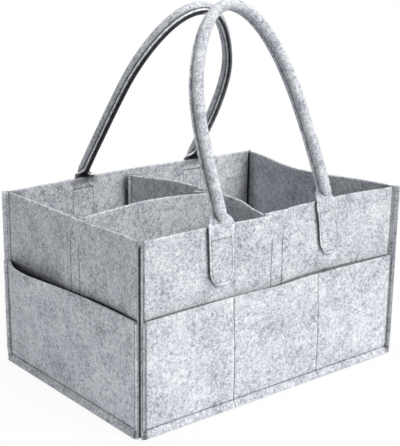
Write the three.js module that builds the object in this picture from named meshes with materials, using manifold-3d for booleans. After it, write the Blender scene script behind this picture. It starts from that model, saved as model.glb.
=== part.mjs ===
// A caddy sewn from thick felt: an open box with pockets all round the outside, two rolled
// handles that swing over the rim, and a T-shaped divider that lifts out.
// Millimetres, +Z up. The origin is the middle of the underside, -Y is the front.
import * as THREE from 'three';
import { mergeVertices } from 'three/addons/utils/BufferGeometryUtils.js';
import Module from 'manifold-3d';

const wasm = await Module();
wasm.setup();

// The box, over the outside faces of its walls
const boxLength = 330;
const boxWidth = 228;
const rimHeight = 184;
const feltThickness = 3;
const layerGap = 0.3;

// Corner and bottom seams: raw edges stand outside as lips, squeezed thin by the stitching
const lipLength = 5;
const lipThickness = 2;
const baseCornerRadius = 6;

// The end wall on the right leans in at the middle of its rim
const rimBow = 18;
const rimBowSharpness = 1.6;

// Outside pockets; the mouth of an end pocket stands off, most near one end
const pocketHeight = 112;
const endPocketGape = 12;
const gapePeak = 0.2;
const gapeNarrowness = 3;
const gapeSharpness = 1.5;

// Handles: a felt strap, flat where it is sewn on, then folded round a cord with its raw edges
// stitched together in a lip on the inside. It bends in its flat foot, just above the rim.
const cordDiameter = 4;
const handleLip = 4;
const neckRadius = 2;
const rollLength = 13;
const hingeRise = 5;
const tabLength = 54;
const archSquareness = 3;
const frontSpan = 136;
const frontHeight = 201.5;
const frontLean = 22.5;
const frontShift = -5;
const backSpan = 149;
const backHeight = 210;
const backLean = 30.5;
const backShift = -0.5;
const outwardLimit = 150;

// Divider panels: each free end is stitched to a flat flange, with a small lip beside the seam
const dividerTop = 182;
const dividerLip = 4;
const flangeWidth = 22;
const foldRadius = 2;
const crossFrontX = -9;
const crossBackX = -15.5;
const kneeX = 4.5;
const kneeY = -66;
const pushX = 11;
const pushY = -20;
const longLeftY = -7;
const longBendX = -118;
const longBendY = -0.3;
const longBowX = -60;
const longBowY = 5.3;
const joinPlace = 0.42;
const joinFlange = 22;

// Hook and loop tapes
const tapeWidth = 18;
const tapeThickness = 1.2;
const tapeHeight = 140;
const tapeBottom = 25;
const tapeShift = 5;

// Facet counts
const bowColumns = 12;
const bowRows = 6;
const footStations = 5;
const archStations = 36;
const roundFacets = 5;
const neckFacets = 2;
const cordSides = 8;
const endSteps = 2;
const sectionPaces = 8;
const archDivisions = 800;
const bendSteps = 4;

const innerLength = boxLength / 2 - feltThickness;
const innerWidth = boxWidth / 2 - feltThickness;
const lipTip = Math.SQRT2 * feltThickness + lipLength;
const baseEdge = feltThickness + lipLength;
const wallBottom = feltThickness + layerGap;
const pocketBottom = wallBottom + lipThickness + layerGap;
const hingeOffset = boxWidth / 2 + layerGap + feltThickness / 2;
const hingeHeight = rimHeight + hingeRise;
const tabTop = hingeHeight - feltThickness / 2 - layerGap;
const flangeInset = 2 * tapeThickness + 3 * layerGap + feltThickness / 2;

// Felt layers of a seam: how far the sheet lies outside the wall's inside face, and how far
// its lip lies beside the corner's diagonal
const wallLayer = { face: 0, mitre: layerGap / 2 };
const pocketLayer = {
  face: feltThickness + layerGap,
  mitre: layerGap / 2 + lipThickness + layerGap,
};

const felt = { color: 0xc3c7cc, roughness: 0.95, metalness: 0 };
const tape = { color: 0xa9adb2, roughness: 0.9, metalness: 0 };
const filler = { color: 0xdedbd2, roughness: 0.95, metalness: 0 };

// Solids for joining and cutting

function toSolid(geometry) {
  const bare = geometry.clone();
  bare.deleteAttribute('normal');
  bare.deleteAttribute('uv');
  const merged = mergeVertices(bare);
  const mesh = new wasm.Mesh({
    numProp: 3,
    vertProperties: Float32Array.from(merged.attributes.position.array),
    triVerts: Uint32Array.from(merged.index.array),
  });
  return new wasm.Manifold(mesh);
}

function toGeometry(solid) {
  const mesh = solid.getMesh();
  const geometry = new THREE.BufferGeometry();
  geometry.setAttribute('position', new THREE.BufferAttribute(mesh.vertProperties, 3));
  geometry.setIndex(new THREE.BufferAttribute(mesh.triVerts, 1));
  return geometry;
}

// A flat plate with the outline of a shape in plan
function plate(shape, bottom, thickness) {
  const options = { depth: thickness, bevelEnabled: false, curveSegments: bendSteps };
  return new THREE.ExtrudeGeometry(shape, options).translate(0, 0, bottom);
}

function signedVolume(positions, index) {
  const corner = (k) => new THREE.Vector3().fromArray(positions, 3 * index[k]);
  let volume = 0;
  for (let k = 0; k < index.length; k += 3) {
    volume += corner(k).dot(corner(k + 1).cross(corner(k + 2)));
  }
  return volume / 6;
}

// A felt sheet as a closed solid: each row is a line of point pairs, one on each face
function sheetSolid(rows) {
  const columns = rows[0].length;
  const lastRow = rows.length - 1;
  const lastColumn = columns - 1;
  const positions = rows.flat(2).flatMap((point) => point.toArray());
  const near = (i, j) => 2 * (i * columns + j);
  const far = (i, j) => near(i, j) + 1;
  const index = [];
  const quad = (a, b, c, d) => index.push(a, b, c, a, c, d);
  for (let i = 0; i < lastRow; i += 1) {
    for (let j = 0; j < lastColumn; j += 1) {
      quad(near(i, j), near(i, j + 1), near(i + 1, j + 1), near(i + 1, j));
      quad(far(i, j), far(i + 1, j), far(i + 1, j + 1), far(i, j + 1));
    }
    quad(near(i, 0), near(i + 1, 0), far(i + 1, 0), far(i, 0));
    quad(near(i + 1, lastColumn), near(i, lastColumn), far(i, lastColumn), far(i + 1, lastColumn));
  }
  for (let j = 0; j < lastColumn; j += 1) {
    quad(near(0, j + 1), near(0, j), far(0, j), far(0, j + 1));
    quad(near(lastRow, j), near(lastRow, j + 1), far(lastRow, j + 1), far(lastRow, j));
  }
  if (signedVolume(positions, index) < 0) {
    index.reverse();
  }
  const geometry = new THREE.BufferGeometry();
  geometry.setAttribute('position', new THREE.Float32BufferAttribute(positions, 3));
  geometry.setIndex(index);
  return geometry;
}

// Sewn box. Each panel is drawn as the front one and turned to its side. Its half length and
// its depth are those of the inside face that it belongs to.

function baseOutline(half, depth) {
  const x = half + baseEdge;
  const y = depth + baseEdge;
  const r = Math.min(baseCornerRadius, baseEdge);
  const shape = new THREE.Shape();
  shape.absarc(x - r, r - y, r, -Math.PI / 2, 0);
  shape.absarc(x - r, y - r, r, 0, Math.PI / 2);
  shape.absarc(r - x, y - r, r, Math.PI / 2, Math.PI);
  shape.absarc(r - x, r - y, r, Math.PI, 1.5 * Math.PI);
  shape.closePath();
  return shape;
}

// A corner of a panel on the line that keeps the layer's distance from the diagonal
function mitrePoint(half, depth, face, mitre) {
  return new THREE.Vector2(half + face - Math.SQRT2 * mitre, -(depth + face));
}

function lipPoint(half, depth, mitre) {
  const x = half + (lipTip - mitre) / Math.SQRT2;
  const y = -depth - (lipTip + mitre) / Math.SQRT2;
  return new THREE.Vector2(x, y);
}

// One line along a face of a panel, from lip tip to lip tip
function panelLine(half, depth, face, mitre, z, columns, bulge) {
  const tip = lipPoint(half, depth, mitre);
  const corner = mitrePoint(half, depth, face, mitre);
  const line = [new THREE.Vector3(-tip.x, tip.y, z)];
  for (let k = 0; k <= columns; k += 1) {
    const share = k / columns;
    line.push(new THREE.Vector3((2 * share - 1) * corner.x, corner.y - bulge(share, z), z));
  }
  line.push(new THREE.Vector3(tip.x, tip.y, z));
  return line;
}

// The panel's foot turned out over the edge of the base
function footLip(half, depth, layer, bottom) {
  const start = mitrePoint(half, depth, layer.face + feltThickness / 2, layer.mitre);
  const end = mitrePoint(half, depth, baseEdge + lipLength, layer.mitre);
  const wedge = new THREE.Shape();
  wedge.moveTo(-start.x, start.y);
  wedge.lineTo(-end.x, end.y);
  wedge.lineTo(end.x, end.y);
  wedge.lineTo(start.x, start.y);
  wedge.closePath();
  const edge = toSolid(plate(baseOutline(half, depth), bottom, lipThickness));
  return edge.intersect(toSolid(plate(wedge, bottom, lipThickness)));
}

const flat = { columns: 1, rows: 1, bulge: () => 0 };

function sewnPanel(half, depth, layer, bottom, top, form) {
  const rows = [];
  for (let i = 0; i <= form.rows; i += 1) {
    const z = bottom + ((top - bottom) * i) / form.rows;
    const outerFace = layer.face + feltThickness;
    const outerMitre = layer.mitre + lipThickness;
    const inside = panelLine(half, depth, layer.face, layer.mitre, z, form.columns, form.bulge);
    const outside = panelLine(half, depth, outerFace, outerMitre, z, form.columns, form.bulge);
    rows.push(inside.map((point, j) => [point, outside[j]]));
  }
  const sheet = toSolid(sheetSolid(rows));
  return toGeometry(sheet.add(footLip(half, depth, layer, bottom)));
}

const leaningRim = {
  columns: bowColumns,
  rows: bowRows,
  bulge: (share, z) => {
    const rise = ((z - wallBottom) / (rimHeight - wallBottom)) ** rimBowSharpness;
    return -rimBow * rise * Math.sin(Math.PI * share) ** 2;
  },
};

const gapingMouth = {
  columns: bowColumns,
  rows: bowRows,
  bulge: (share, z) => {
    const rise = ((z - pocketBottom) / (pocketHeight - pocketBottom)) ** gapeSharpness;
    const place = share ** (Math.log(0.5) / Math.log(gapePeak));
    return endPocketGape * rise * Math.sin(Math.PI * place) ** gapeNarrowness;
  },
};

const caddy = new THREE.Group();

function addPiece(parent, name, geometry, finish, turn = 0) {
  const mesh = new THREE.Mesh(geometry, new THREE.MeshStandardMaterial(finish));
  mesh.name = name;
  mesh.rotation.z = turn;
  parent.add(mesh);
  return mesh;
}

const longSide = { half: innerLength, depth: innerWidth };
const endSide = { half: innerWidth, depth: innerLength };
const sides = [
  { name: 'front', turn: 0, ...longSide, wall: flat, pocket: flat },
  { name: 'right', turn: Math.PI / 2, ...endSide, wall: leaningRim, pocket: gapingMouth },
  { name: 'back', turn: Math.PI, ...longSide, wall: flat, pocket: flat },
  { name: 'left', turn: -Math.PI / 2, ...endSide, wall: flat, pocket: gapingMouth },
];

addPiece(caddy, 'base_panel', plate(baseOutline(innerLength, innerWidth), 0, feltThickness), felt);
for (const { name, turn, half, depth, wall, pocket } of sides) {
  const wallSheet = sewnPanel(half, depth, wallLayer, wallBottom, rimHeight, wall);
  const pocketSheet = sewnPanel(half, depth, pocketLayer, pocketBottom, pocketHeight, pocket);
  addPiece(caddy, `${name}_wall`, wallSheet, felt, turn);
  addPiece(caddy, `${name}_pocket`, pocketSheet, felt, turn);
}

// Handles. A handle is drawn upright on its hinge line, with the inside of the box at +Y.

// The folded section: half the strap runs round the cord, back through the neck and out along
// the lip, where it lies against the other half
const boreRadius = (cordDiameter / 2 + layerGap) / Math.cos(Math.PI / (2 * roundFacets));
const tubeRadius = boreRadius + feltThickness / 2;
const lipMiddle = (lipThickness + layerGap) / 2;
const neckTurn = Math.PI - Math.asin((lipMiddle + neckRadius) / (tubeRadius + neckRadius));
const roundLength = tubeRadius * neckTurn;
const neckEnd = roundLength + neckRadius * (neckTurn - Math.PI / 2);
const strapWidth = 2 * (neckEnd + handleLip);

// How far the sheet has turned at a distance from the strap's middle line
function turnAt(distance) {
  if (distance <= roundLength) {
    return distance / tubeRadius;
  }
  return Math.max(Math.PI / 2, neckTurn - (distance - roundLength) / neckRadius);
}

function sectionStops() {
  const stops = [];
  for (let k = 1; k <= roundFacets; k += 1) {
    stops.push((roundLength * k) / roundFacets);
  }
  for (let k = 1; k <= neckFacets; k += 1) {
    stops.push(THREE.MathUtils.lerp(roundLength, neckEnd, k / neckFacets));
  }
  stops.push(strapWidth / 2);
  return stops;
}

// Points across the middle of the sheet, from edge to edge: 0 is flat and 1 is fully folded
function strapSection(folded) {
  const half = [];
  let sideways = 0;
  let depth = 0;
  let along = 0;
  for (const stop of sectionStops()) {
    const pace = (stop - along) / sectionPaces;
    for (let k = 0; k < sectionPaces; k += 1) {
      const turn = folded * turnAt(along + pace / 2);
      sideways += pace * Math.cos(turn);
      depth += pace * Math.sin(turn);
      along += pace;
    }
    const squeeze = folded * THREE.MathUtils.smoothstep(stop, roundLength, neckEnd);
    const thickness = THREE.MathUtils.lerp(feltThickness, lipThickness, squeeze);
    half.push({ sideways, depth, turn: folded * turnAt(stop), thickness });
  }
  const middle = { sideways: 0, depth: 0, turn: 0, thickness: feltThickness };
  const mirror = (point) => ({ ...point, sideways: -point.sideways, turn: -point.turn });
  return [...half.map(mirror).reverse(), middle, ...half];
}

class Arch extends THREE.Curve {
  constructor(span, height) {
    super();
    this.span = span;
    this.height = height;
    this.arcLengthDivisions = archDivisions;
  }

  getPoint(t) {
    const angle = Math.PI * (1 - t);
    const rise = Math.sin(angle);
    const reach = Math.sqrt(Math.max(0, 1 - Math.abs(rise) ** archSquareness));
    const x = (this.span / 2) * Math.sign(Math.cos(angle)) * reach;
    return new THREE.Vector3(x, 0, this.height * rise);
  }
}

// The cord's line: the arch above its feet, moved to the middle of the folded strap
class CordLine extends THREE.Curve {
  constructor(arch, footShare) {
    super();
    this.arch = arch;
    this.footShare = footShare;
  }

  getPoint(t) {
    const share = THREE.MathUtils.lerp(this.footShare, 1 - this.footShare, t);
    const point = this.arch.getPointAt(share);
    point.y += tubeRadius;
    return point;
  }
}

// Point pairs across the strap at one place along its middle line
function strapRow(spine, tangent, folded, thicknessShare) {
  const across = new THREE.Vector3(tangent.z, 0, -tangent.x);
  return strapSection(folded).map(({ sideways, depth, turn, thickness }) => {
    const middle = spine.clone().addScaledVector(across, sideways);
    middle.y += depth;
    const offset = across.clone().multiplyScalar(-Math.sin(turn));
    offset.y += Math.cos(turn);
    offset.multiplyScalar((thicknessShare * thickness) / 2);
    return [middle.clone().add(offset), middle.clone().sub(offset)];
  });
}

// The flat end of the strap is rounded about the hinge line
function strapEnd(foot, upwards) {
  const tangent = new THREE.Vector3(0, 0, upwards);
  const rows = [];
  for (let k = endSteps; k >= 1; k -= 1) {
    const angle = (Math.PI / 2) * (k / (endSteps + 1));
    const low = foot.clone().setZ((-feltThickness / 2) * Math.sin(angle));
    rows.push(strapRow(low, tangent, 0, Math.cos(angle)));
  }
  return rows;
}

function handleStrap(arch, footShare) {
  const shares = [];
  for (let k = 0; k < footStations; k += 1) {
    shares.push((footShare * k) / footStations);
  }
  for (let k = 0; k <= archStations; k += 1) {
    shares.push(THREE.MathUtils.lerp(footShare, 1 - footShare, k / archStations));
  }
  for (let k = footStations - 1; k >= 0; k -= 1) {
    shares.push(1 - (footShare * k) / footStations);
  }
  const rows = shares.map((share) => {
    const folded = THREE.MathUtils.smoothstep(Math.min(share, 1 - share), 0, footShare);
    const tangent = arch.getTangentAt(share);
    if (folded === 0) {
      tangent.set(0, 0, Math.sign(tangent.z));
    }
    return strapRow(arch.getPointAt(share), tangent, folded, 1);
  });
  const start = strapEnd(arch.getPointAt(0), 1);
  const end = strapEnd(arch.getPointAt(1), -1).reverse();
  return sheetSolid([...start, ...rows, ...end]);
}

function cordFiller(arch, footShare) {
  const section = new THREE.Shape();
  section.absarc(0, 0, cordDiameter / 2, 0, 2 * Math.PI);
  const extrudePath = new CordLine(arch, footShare);
  const options = { steps: archStations, extrudePath, curveSegments: cordSides };
  return new THREE.ExtrudeGeometry(section, options);
}

// Sewn tongue of the strap; its top is cut back where the strap hangs down outside
function sewnTab(x) {
  const radius = strapWidth / 2;
  const roundBottom = rimHeight - tabLength + radius;
  const tongue = new THREE.Shape();
  tongue.moveTo(x - radius, tabTop);
  tongue.lineTo(x - radius, roundBottom);
  tongue.absarc(x, roundBottom, radius, Math.PI, 2 * Math.PI);
  tongue.lineTo(x + radius, tabTop);
  tongue.closePath();
  const sheet = plate(tongue, 0, feltThickness).rotateX(Math.PI / 2);
  sheet.translate(0, -(boxWidth / 2 + layerGap), 0);
  const room = feltThickness + 2 * layerGap;
  const hangingStrap = new THREE.BoxGeometry(boxLength, room, tabLength);
  hangingStrap.translate(0, 0, tabLength / 2);
  hangingStrap.rotateX(THREE.MathUtils.degToRad(outwardLimit));
  hangingStrap.translate(0, -hingeOffset, hingeHeight);
  return toGeometry(toSolid(sheet).subtract(toSolid(hangingStrap)));
}

function addHandle(side, turn, { span, height, lean, shift }) {
  const arch = new Arch(span, height);
  const footShare = rollLength / arch.getLength();
  const rightwards = Math.cos(turn);
  const place = new THREE.Group();
  place.rotation.z = turn;
  const swing = new THREE.Group();
  swing.position.set(shift * rightwards, -hingeOffset, hingeHeight);
  swing.rotation.x = -THREE.MathUtils.degToRad(lean);
  addPiece(swing, `${side}_handle_strap`, handleStrap(arch, footShare), felt);
  addPiece(swing, `${side}_handle_core`, cordFiller(arch, footShare), filler);
  place.add(swing);
  caddy.add(place);
  const leftTab = sewnTab((shift - span / 2) * rightwards);
  const rightTab = sewnTab((shift + span / 2) * rightwards);
  addPiece(caddy, `${side}_handle_left_tab`, leftTab, felt, turn);
  addPiece(caddy, `${side}_handle_right_tab`, rightTab, felt, turn);
}

addHandle('front', 0, { span: frontSpan, height: frontHeight, lean: frontLean, shift: frontShift });
addHandle('back', Math.PI, { span: backSpan, height: backHeight, lean: backLean, shift: backShift });

// T divider. Each panel follows a line in plan, through the middle of its felt.

function standingPanel(path) {
  const points = path.getPoints(bendSteps);
  const last = points.length - 1;
  const direction = (k) => points[k + 1].clone().sub(points[k]).normalize();
  const line = points.map((point, k) => {
    const before = direction(Math.max(k - 1, 0));
    const after = direction(Math.min(k, last - 1));
    const tangent = before.clone().add(after).normalize();
    const reach = feltThickness / 2 / tangent.dot(after);
    const normal = new THREE.Vector2(-tangent.y, tangent.x).multiplyScalar(reach);
    return [point.clone().add(normal), point.clone().sub(normal)];
  });
  const rows = [wallBottom, dividerTop].map((z) => (
    line.map((pair) => pair.map((point) => new THREE.Vector3(point.x, point.y, z)))
  ));
  return sheetSolid(rows);
}

const flangeY = innerWidth - flangeInset;
const flangeX = innerLength - flangeInset;
const dividerY = flangeY - feltThickness - layerGap;
const dividerX = flangeX - feltThickness - layerGap;
const crossFront = new THREE.Vector2(crossFrontX, -dividerY + foldRadius);
const crossBack = new THREE.Vector2(crossBackX, dividerY - foldRadius);
const kneePoint = new THREE.Vector2(kneeX, kneeY);
const pushPoint = new THREE.Vector2(pushX, pushY);

// The cross panel is pushed out of line by the long one
function crossDivider() {
  const path = new THREE.Path();
  path.moveTo(crossFrontX - dividerLip, -dividerY);
  path.lineTo(crossFrontX - foldRadius, -dividerY);
  path.quadraticCurveTo(crossFrontX, -dividerY, crossFront.x, crossFront.y);
  path.splineThru([kneePoint, pushPoint, crossBack]);
  path.quadraticCurveTo(crossBackX, dividerY, crossBackX - foldRadius, dividerY);
  path.lineTo(crossBackX - dividerLip, dividerY);
  return standingPanel(path);
}

// The long panel ends in a small flange that lies along the left face of the cross panel
function longDivider() {
  const bow = new THREE.SplineCurve([crossFront, kneePoint, pushPoint, crossBack]);
  const beside = (share) => {
    const tangent = bow.getTangentAt(share);
    const normal = new THREE.Vector2(-tangent.y, tangent.x);
    return bow.getPointAt(share).addScaledVector(normal, feltThickness + 2 * layerGap);
  };
  const join = beside(joinPlace);
  const joinEnd = beside(joinPlace + joinFlange / bow.getLength());
  const leftFold = new THREE.Vector2(-dividerX, longLeftY);
  const longBend = new THREE.Vector2(longBendX, longBendY);
  const longBow = new THREE.Vector2(longBowX, longBowY);
  const towardsLeft = longBow.clone().sub(join).normalize();
  const alongCross = joinEnd.clone().sub(join).normalize();
  const joinStart = join.clone().addScaledVector(towardsLeft, foldRadius);
  const joinFold = join.clone().addScaledVector(alongCross, foldRadius);
  const path = new THREE.Path();
  path.moveTo(leftFold.x, leftFold.y + dividerLip);
  path.lineTo(leftFold.x, leftFold.y + foldRadius);
  path.quadraticCurveTo(leftFold.x, leftFold.y, leftFold.x + foldRadius, leftFold.y);
  path.splineThru([longBend, longBow, joinStart]);
  path.quadraticCurveTo(join.x, join.y, joinFold.x, joinFold.y);
  path.lineTo(joinEnd.x, joinEnd.y);
  return standingPanel(path);
}

// A flange lies flat beside the wall, from the tip of the lip to its own free edge
function flangeStrip(along, direction, wall) {
  const width = dividerLip + flangeWidth;
  const height = dividerTop - wallBottom;
  const middle = along + (direction * (flangeWidth - dividerLip)) / 2;
  const strip = new THREE.BoxGeometry(width, feltThickness, height);
  return strip.translate(middle, -wall, wallBottom + height / 2);
}

addPiece(caddy, 'cross_divider', crossDivider(), felt);
addPiece(caddy, 'long_divider', longDivider(), felt);
addPiece(caddy, 'front_divider_flange', flangeStrip(crossFrontX, 1, flangeY), felt);
addPiece(caddy, 'back_divider_flange', flangeStrip(-crossBackX, -1, flangeY), felt, Math.PI);
addPiece(caddy, 'left_divider_flange', flangeStrip(-longLeftY, 1, flangeX), felt, -Math.PI / 2);

// Tapes: loop tape sewn to the wall, hook tape sewn to the flange that faces it

function tapeStrip(along, wall) {
  const strip = new THREE.BoxGeometry(tapeWidth, tapeThickness, tapeHeight);
  return strip.translate(along, -wall, tapeBottom + tapeHeight / 2);
}

function addTapes(side, turn, along, innerFace) {
  const loopPlace = innerFace - layerGap - tapeThickness / 2;
  const hookPlace = loopPlace - tapeThickness - layerGap;
  addPiece(caddy, `${side}_loop_tape`, tapeStrip(along, loopPlace), tape, turn);
  addPiece(caddy, `${side}_hook_tape`, tapeStrip(along, hookPlace), tape, turn);
}

addTapes('front', 0, crossFrontX + tapeShift, innerWidth);
addTapes('back', Math.PI, -(crossBackX + tapeShift), innerWidth);
addTapes('left', -Math.PI / 2, -(longLeftY - tapeShift), innerLength);

export default caddy;
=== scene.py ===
# %% [markdown]
# # A felt caddy, dressed over its solid frame
# The caddy is an open box sewn from thick grey needle felt, with pockets all round, two handles folded
# round a cord, and a divider that lifts out. The solid model says where every panel is. Its solids could
# simply be given a felt material, but they have sharp edges, flat walls and no seams. So each felt piece
# is modelled again here as a sheet that can sag, gape, be pinched and be sewn, and it takes the place of
# its solid.

# %% The frame
import math
from functools import partial
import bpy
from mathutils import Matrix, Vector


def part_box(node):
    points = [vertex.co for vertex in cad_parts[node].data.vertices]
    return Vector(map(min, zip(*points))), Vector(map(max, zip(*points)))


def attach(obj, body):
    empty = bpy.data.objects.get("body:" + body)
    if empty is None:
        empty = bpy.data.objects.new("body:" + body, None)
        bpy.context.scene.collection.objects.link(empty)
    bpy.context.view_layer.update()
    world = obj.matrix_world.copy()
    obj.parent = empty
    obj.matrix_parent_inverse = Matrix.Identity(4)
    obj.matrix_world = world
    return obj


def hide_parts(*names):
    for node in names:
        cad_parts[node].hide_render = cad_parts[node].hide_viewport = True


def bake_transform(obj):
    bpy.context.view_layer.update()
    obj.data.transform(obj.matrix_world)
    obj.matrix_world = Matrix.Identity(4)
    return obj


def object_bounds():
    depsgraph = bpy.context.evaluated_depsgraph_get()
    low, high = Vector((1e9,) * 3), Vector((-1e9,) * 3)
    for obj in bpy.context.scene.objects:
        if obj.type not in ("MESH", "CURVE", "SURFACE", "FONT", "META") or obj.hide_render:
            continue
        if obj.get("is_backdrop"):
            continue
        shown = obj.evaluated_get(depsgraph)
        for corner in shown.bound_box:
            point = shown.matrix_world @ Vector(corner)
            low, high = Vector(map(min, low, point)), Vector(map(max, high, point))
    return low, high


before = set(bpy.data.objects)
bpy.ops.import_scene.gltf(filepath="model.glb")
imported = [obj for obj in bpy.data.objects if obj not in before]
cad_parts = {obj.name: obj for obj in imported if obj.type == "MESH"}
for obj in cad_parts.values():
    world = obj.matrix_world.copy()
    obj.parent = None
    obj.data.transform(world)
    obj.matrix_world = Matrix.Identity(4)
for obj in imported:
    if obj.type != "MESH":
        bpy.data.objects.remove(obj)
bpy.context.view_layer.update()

from types import SimpleNamespace

import bpy
import numpy as np
from mathutils import Matrix

# %% [markdown]
# ## Sizes
# All shapes are worked out in millimetres, because felt is cut in millimetres, and turned to metres when
# a mesh is made. The sizes of the box could be typed in again, but they are read back from the frame
# instead, so a change there is followed here. Each side is drawn as if it were the front, and then turned
# into its place.

# %% Sizes
MM = 1000.0  # millimetres in a metre
FELT = 3.0  # thickness of the felt
GAP = 0.3  # room between two pieces
LIP = 5.0  # width of the solid's seam lip at a corner
LIP_FELT = 2.0  # thickness of felt that is squeezed in a seam
wall_low, wall_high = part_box("front_wall")
RIM = wall_high.z * MM
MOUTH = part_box("front_pocket")[1].z * MM
FOOT = wall_low.z * MM
lip_out = (math.sqrt(2) * FELT + LIP + GAP / 2 + LIP_FELT) / math.sqrt(2)
HALF_WIDTH = -wall_low.y * MM - lip_out
HALF_LENGTH = -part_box("left_wall")[0].x * MM - lip_out
SIDES = {  # the turn in degrees, half the side's inside length, and how far it stands from the middle
    "front": (0, HALF_LENGTH, HALF_WIDTH),
    "right": (90, HALF_WIDTH, HALF_LENGTH),
    "back": (180, HALF_LENGTH, HALF_WIDTH),
    "left": (-90, HALF_WIDTH, HALF_LENGTH),
}
print(f"inside: half length {HALF_LENGTH:.1f}, half width {HALF_WIDTH:.1f} mm")
print(f"heights: rim {RIM:.1f}, pocket mouth {MOUTH:.1f} mm")

# %% [markdown]
# ## Small helpers for shapes
# Felt bends softly, so its shapes could be sculpted by hand. Here they come from a few smooth functions
# of a distance, which can be measured and changed: a smooth step, a bell, and a soft corner. The soft
# corner is zero on one side and grows evenly on the other, so a sheet bends where it starts to grow.


# %% Smooth functions
def step(low, high, x):
    """0 at low, 1 at high, and smooth between."""
    t = np.clip((x - low) / (high - low), 0, 1)
    return t * t * (3 - 2 * t)


def bell(x, width):
    """1 at zero, and next to nothing two widths away."""
    return np.exp(-((x / width) ** 2))


def soft_corner(x, radius):
    return radius * np.logaddexp(0, x / radius)


print("half way up a step:", step(0, 2, 1), "and one width off a bell:", round(bell(1, 1), 3))

# %% [markdown]
# ## Rows of points
# A sheet needs points close together where it bends sharply: at its raw edges, in its corners and along
# its rows of stitches. An even grid that fine would be very heavy. So the rows are even, with a few close
# ones added at the places that are named.

# %% Rows of points
CLOSE_ROWS = (-3.2, -1.9, -1.1, -0.6, -0.2, 0, 0.2, 0.6, 1.1, 1.9, 3.2)
LEAST_PACE = 0.15


def places(length, pace, marks=()):
    """Places along a cut edge from 0 to length: even, and close together at the raw edges and at marks."""
    found = list(np.linspace(0, length, max(2, round(length / pace)) + 1))
    for mark in [0, length, *marks]:
        found += [mark + d for d in CLOSE_ROWS]
    kept = [0.0]
    for place in sorted(p for p in found if 0 < p < length):
        if place - kept[-1] > LEAST_PACE:
            kept.append(place)
    if length - kept[-1] < LEAST_PACE:
        kept.pop()
    return np.array([*kept, length])


print("a 100 mm edge gets", len(places(100, 6)), "rows")

# %% [markdown]
# ## Camera
# The caddy is seen from a little above, at the corner between its long front, on the right, and its short
# left end. A camera could be moved about by eye until the picture looks right. This one was worked out
# from the box's own edges: where it stands, how far it is turned, and how long its lens is.

# %% Camera
AZIMUTH, ELEVATION, ROLL = (math.radians(v) for v in (-39.587, 16.155, 0.796))
EYE_BACK, EYE_SIDE, EYE_UP = 1161.993, -3.438, 142.433
FOCAL_PIXELS = 1078.188
PICTURE_HEIGHT = 446
SENSOR = 36
flat_way = math.cos(ELEVATION)
back = np.array([math.sin(AZIMUTH) * flat_way, -math.cos(AZIMUTH) * flat_way, math.sin(ELEVATION)])
level = np.array([math.cos(AZIMUTH), math.sin(AZIMUTH), 0.0])
upward = np.cross(back, level)
eye = (back * EYE_BACK + level * EYE_SIDE + upward * EYE_UP) / MM
right = math.cos(ROLL) * level + math.sin(ROLL) * upward
upright = -math.sin(ROLL) * level + math.cos(ROLL) * upward


def placed(x_way, y_way, z_way, at):
    """The matrix of an object that stands at a place, with its own axes along three ways."""
    return Matrix([[x_way[k], y_way[k], z_way[k], at[k]] for k in range(3)] + [[0, 0, 0, 1]])


camera = bpy.data.objects.new("camera", bpy.data.cameras.new("camera"))
bpy.context.scene.collection.objects.link(camera)
camera.matrix_world = placed(right, upright, back, eye)
camera.data.sensor_width = SENSOR
camera.data.lens = FOCAL_PIXELS * SENSOR / PICTURE_HEIGHT
camera.data.clip_start, camera.data.clip_end = 0.05, 50
bpy.context.scene.camera = camera
bpy.context.scene.view_settings.view_transform = "Standard"
print("lens", round(camera.data.lens, 2), "mm")

# %% [markdown]
# ## White paper and a white backdrop
# A product picture on white is taken on a sheet of white paper. Lighting the paper until it is pure white
# would also bleach the felt. Instead, the world and the floor show themselves as plain white to the
# camera, and light the object as a dim sky and as pale paper. The floor shows a little of its own lit
# paper too, which keeps a faint shadow under the box.


# %% White to the camera
def maths(tree, operation, a, b):
    """A math node on two values, each a number or another node's output."""
    node = tree.nodes.new("ShaderNodeMath")
    node.operation = operation
    for socket, value in zip(node.inputs, (a, b)):
        if isinstance(value, (int, float)):
            socket.default_value = value
        else:
            tree.links.new(value, socket)
    return node.outputs[0]


def white_to_camera(tree, shader, output, share):
    """Let a shader light the scene, and show plain white in its place by a share."""
    path = tree.nodes.new("ShaderNodeLightPath")
    seen = maths(tree, "MAXIMUM", path.outputs["Is Camera Ray"], path.outputs["Is Glossy Ray"])
    seen = maths(tree, "MAXIMUM", seen, path.outputs["Is Transmission Ray"])
    in_world = shader.type == "BACKGROUND"
    plain = tree.nodes.new("ShaderNodeBackground" if in_world else "ShaderNodeEmission")
    plain.inputs["Color"].default_value = (1, 1, 1, 1)
    plain.inputs["Strength"].default_value = 1.0
    mix = tree.nodes.new("ShaderNodeMixShader")
    tree.links.new(maths(tree, "MULTIPLY", seen, share), mix.inputs["Fac"])
    tree.links.new(shader.outputs[0], mix.inputs[1])
    tree.links.new(plain.outputs[0], mix.inputs[2])
    tree.links.new(mix.outputs[0], tree.nodes[output].inputs["Surface"])


print("two helpers for shader nodes")

# %% [markdown]
# ## Backdrop
# The backdrop of a studio is a wide roll of paper, far behind the object. A large plane could stand for
# it, but the world is simpler: it has no edge in any view, and its weak, slightly blue light fills the
# shadows from all sides.

# %% Backdrop
world = bpy.data.worlds.new("studio")
bpy.context.scene.world = world
world.use_nodes = True
sky = world.node_tree.nodes["Background"]
sky.inputs["Color"].default_value = (0.93, 0.96, 1.0, 1)
sky.inputs["Strength"].default_value = 0.25
white_to_camera(world.node_tree, sky, "World Output", 1.0)
print("sky strength", round(sky.inputs["Strength"].default_value, 2))

# %% [markdown]
# ## Floor
# The caddy stands on a sheet of paper one metre wide. The paper lies half a millimetre below the base,
# because two faces in the same place would flicker. A shadow catcher could take the shadow alone, but
# real paper also throws light back up on the felt.

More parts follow.
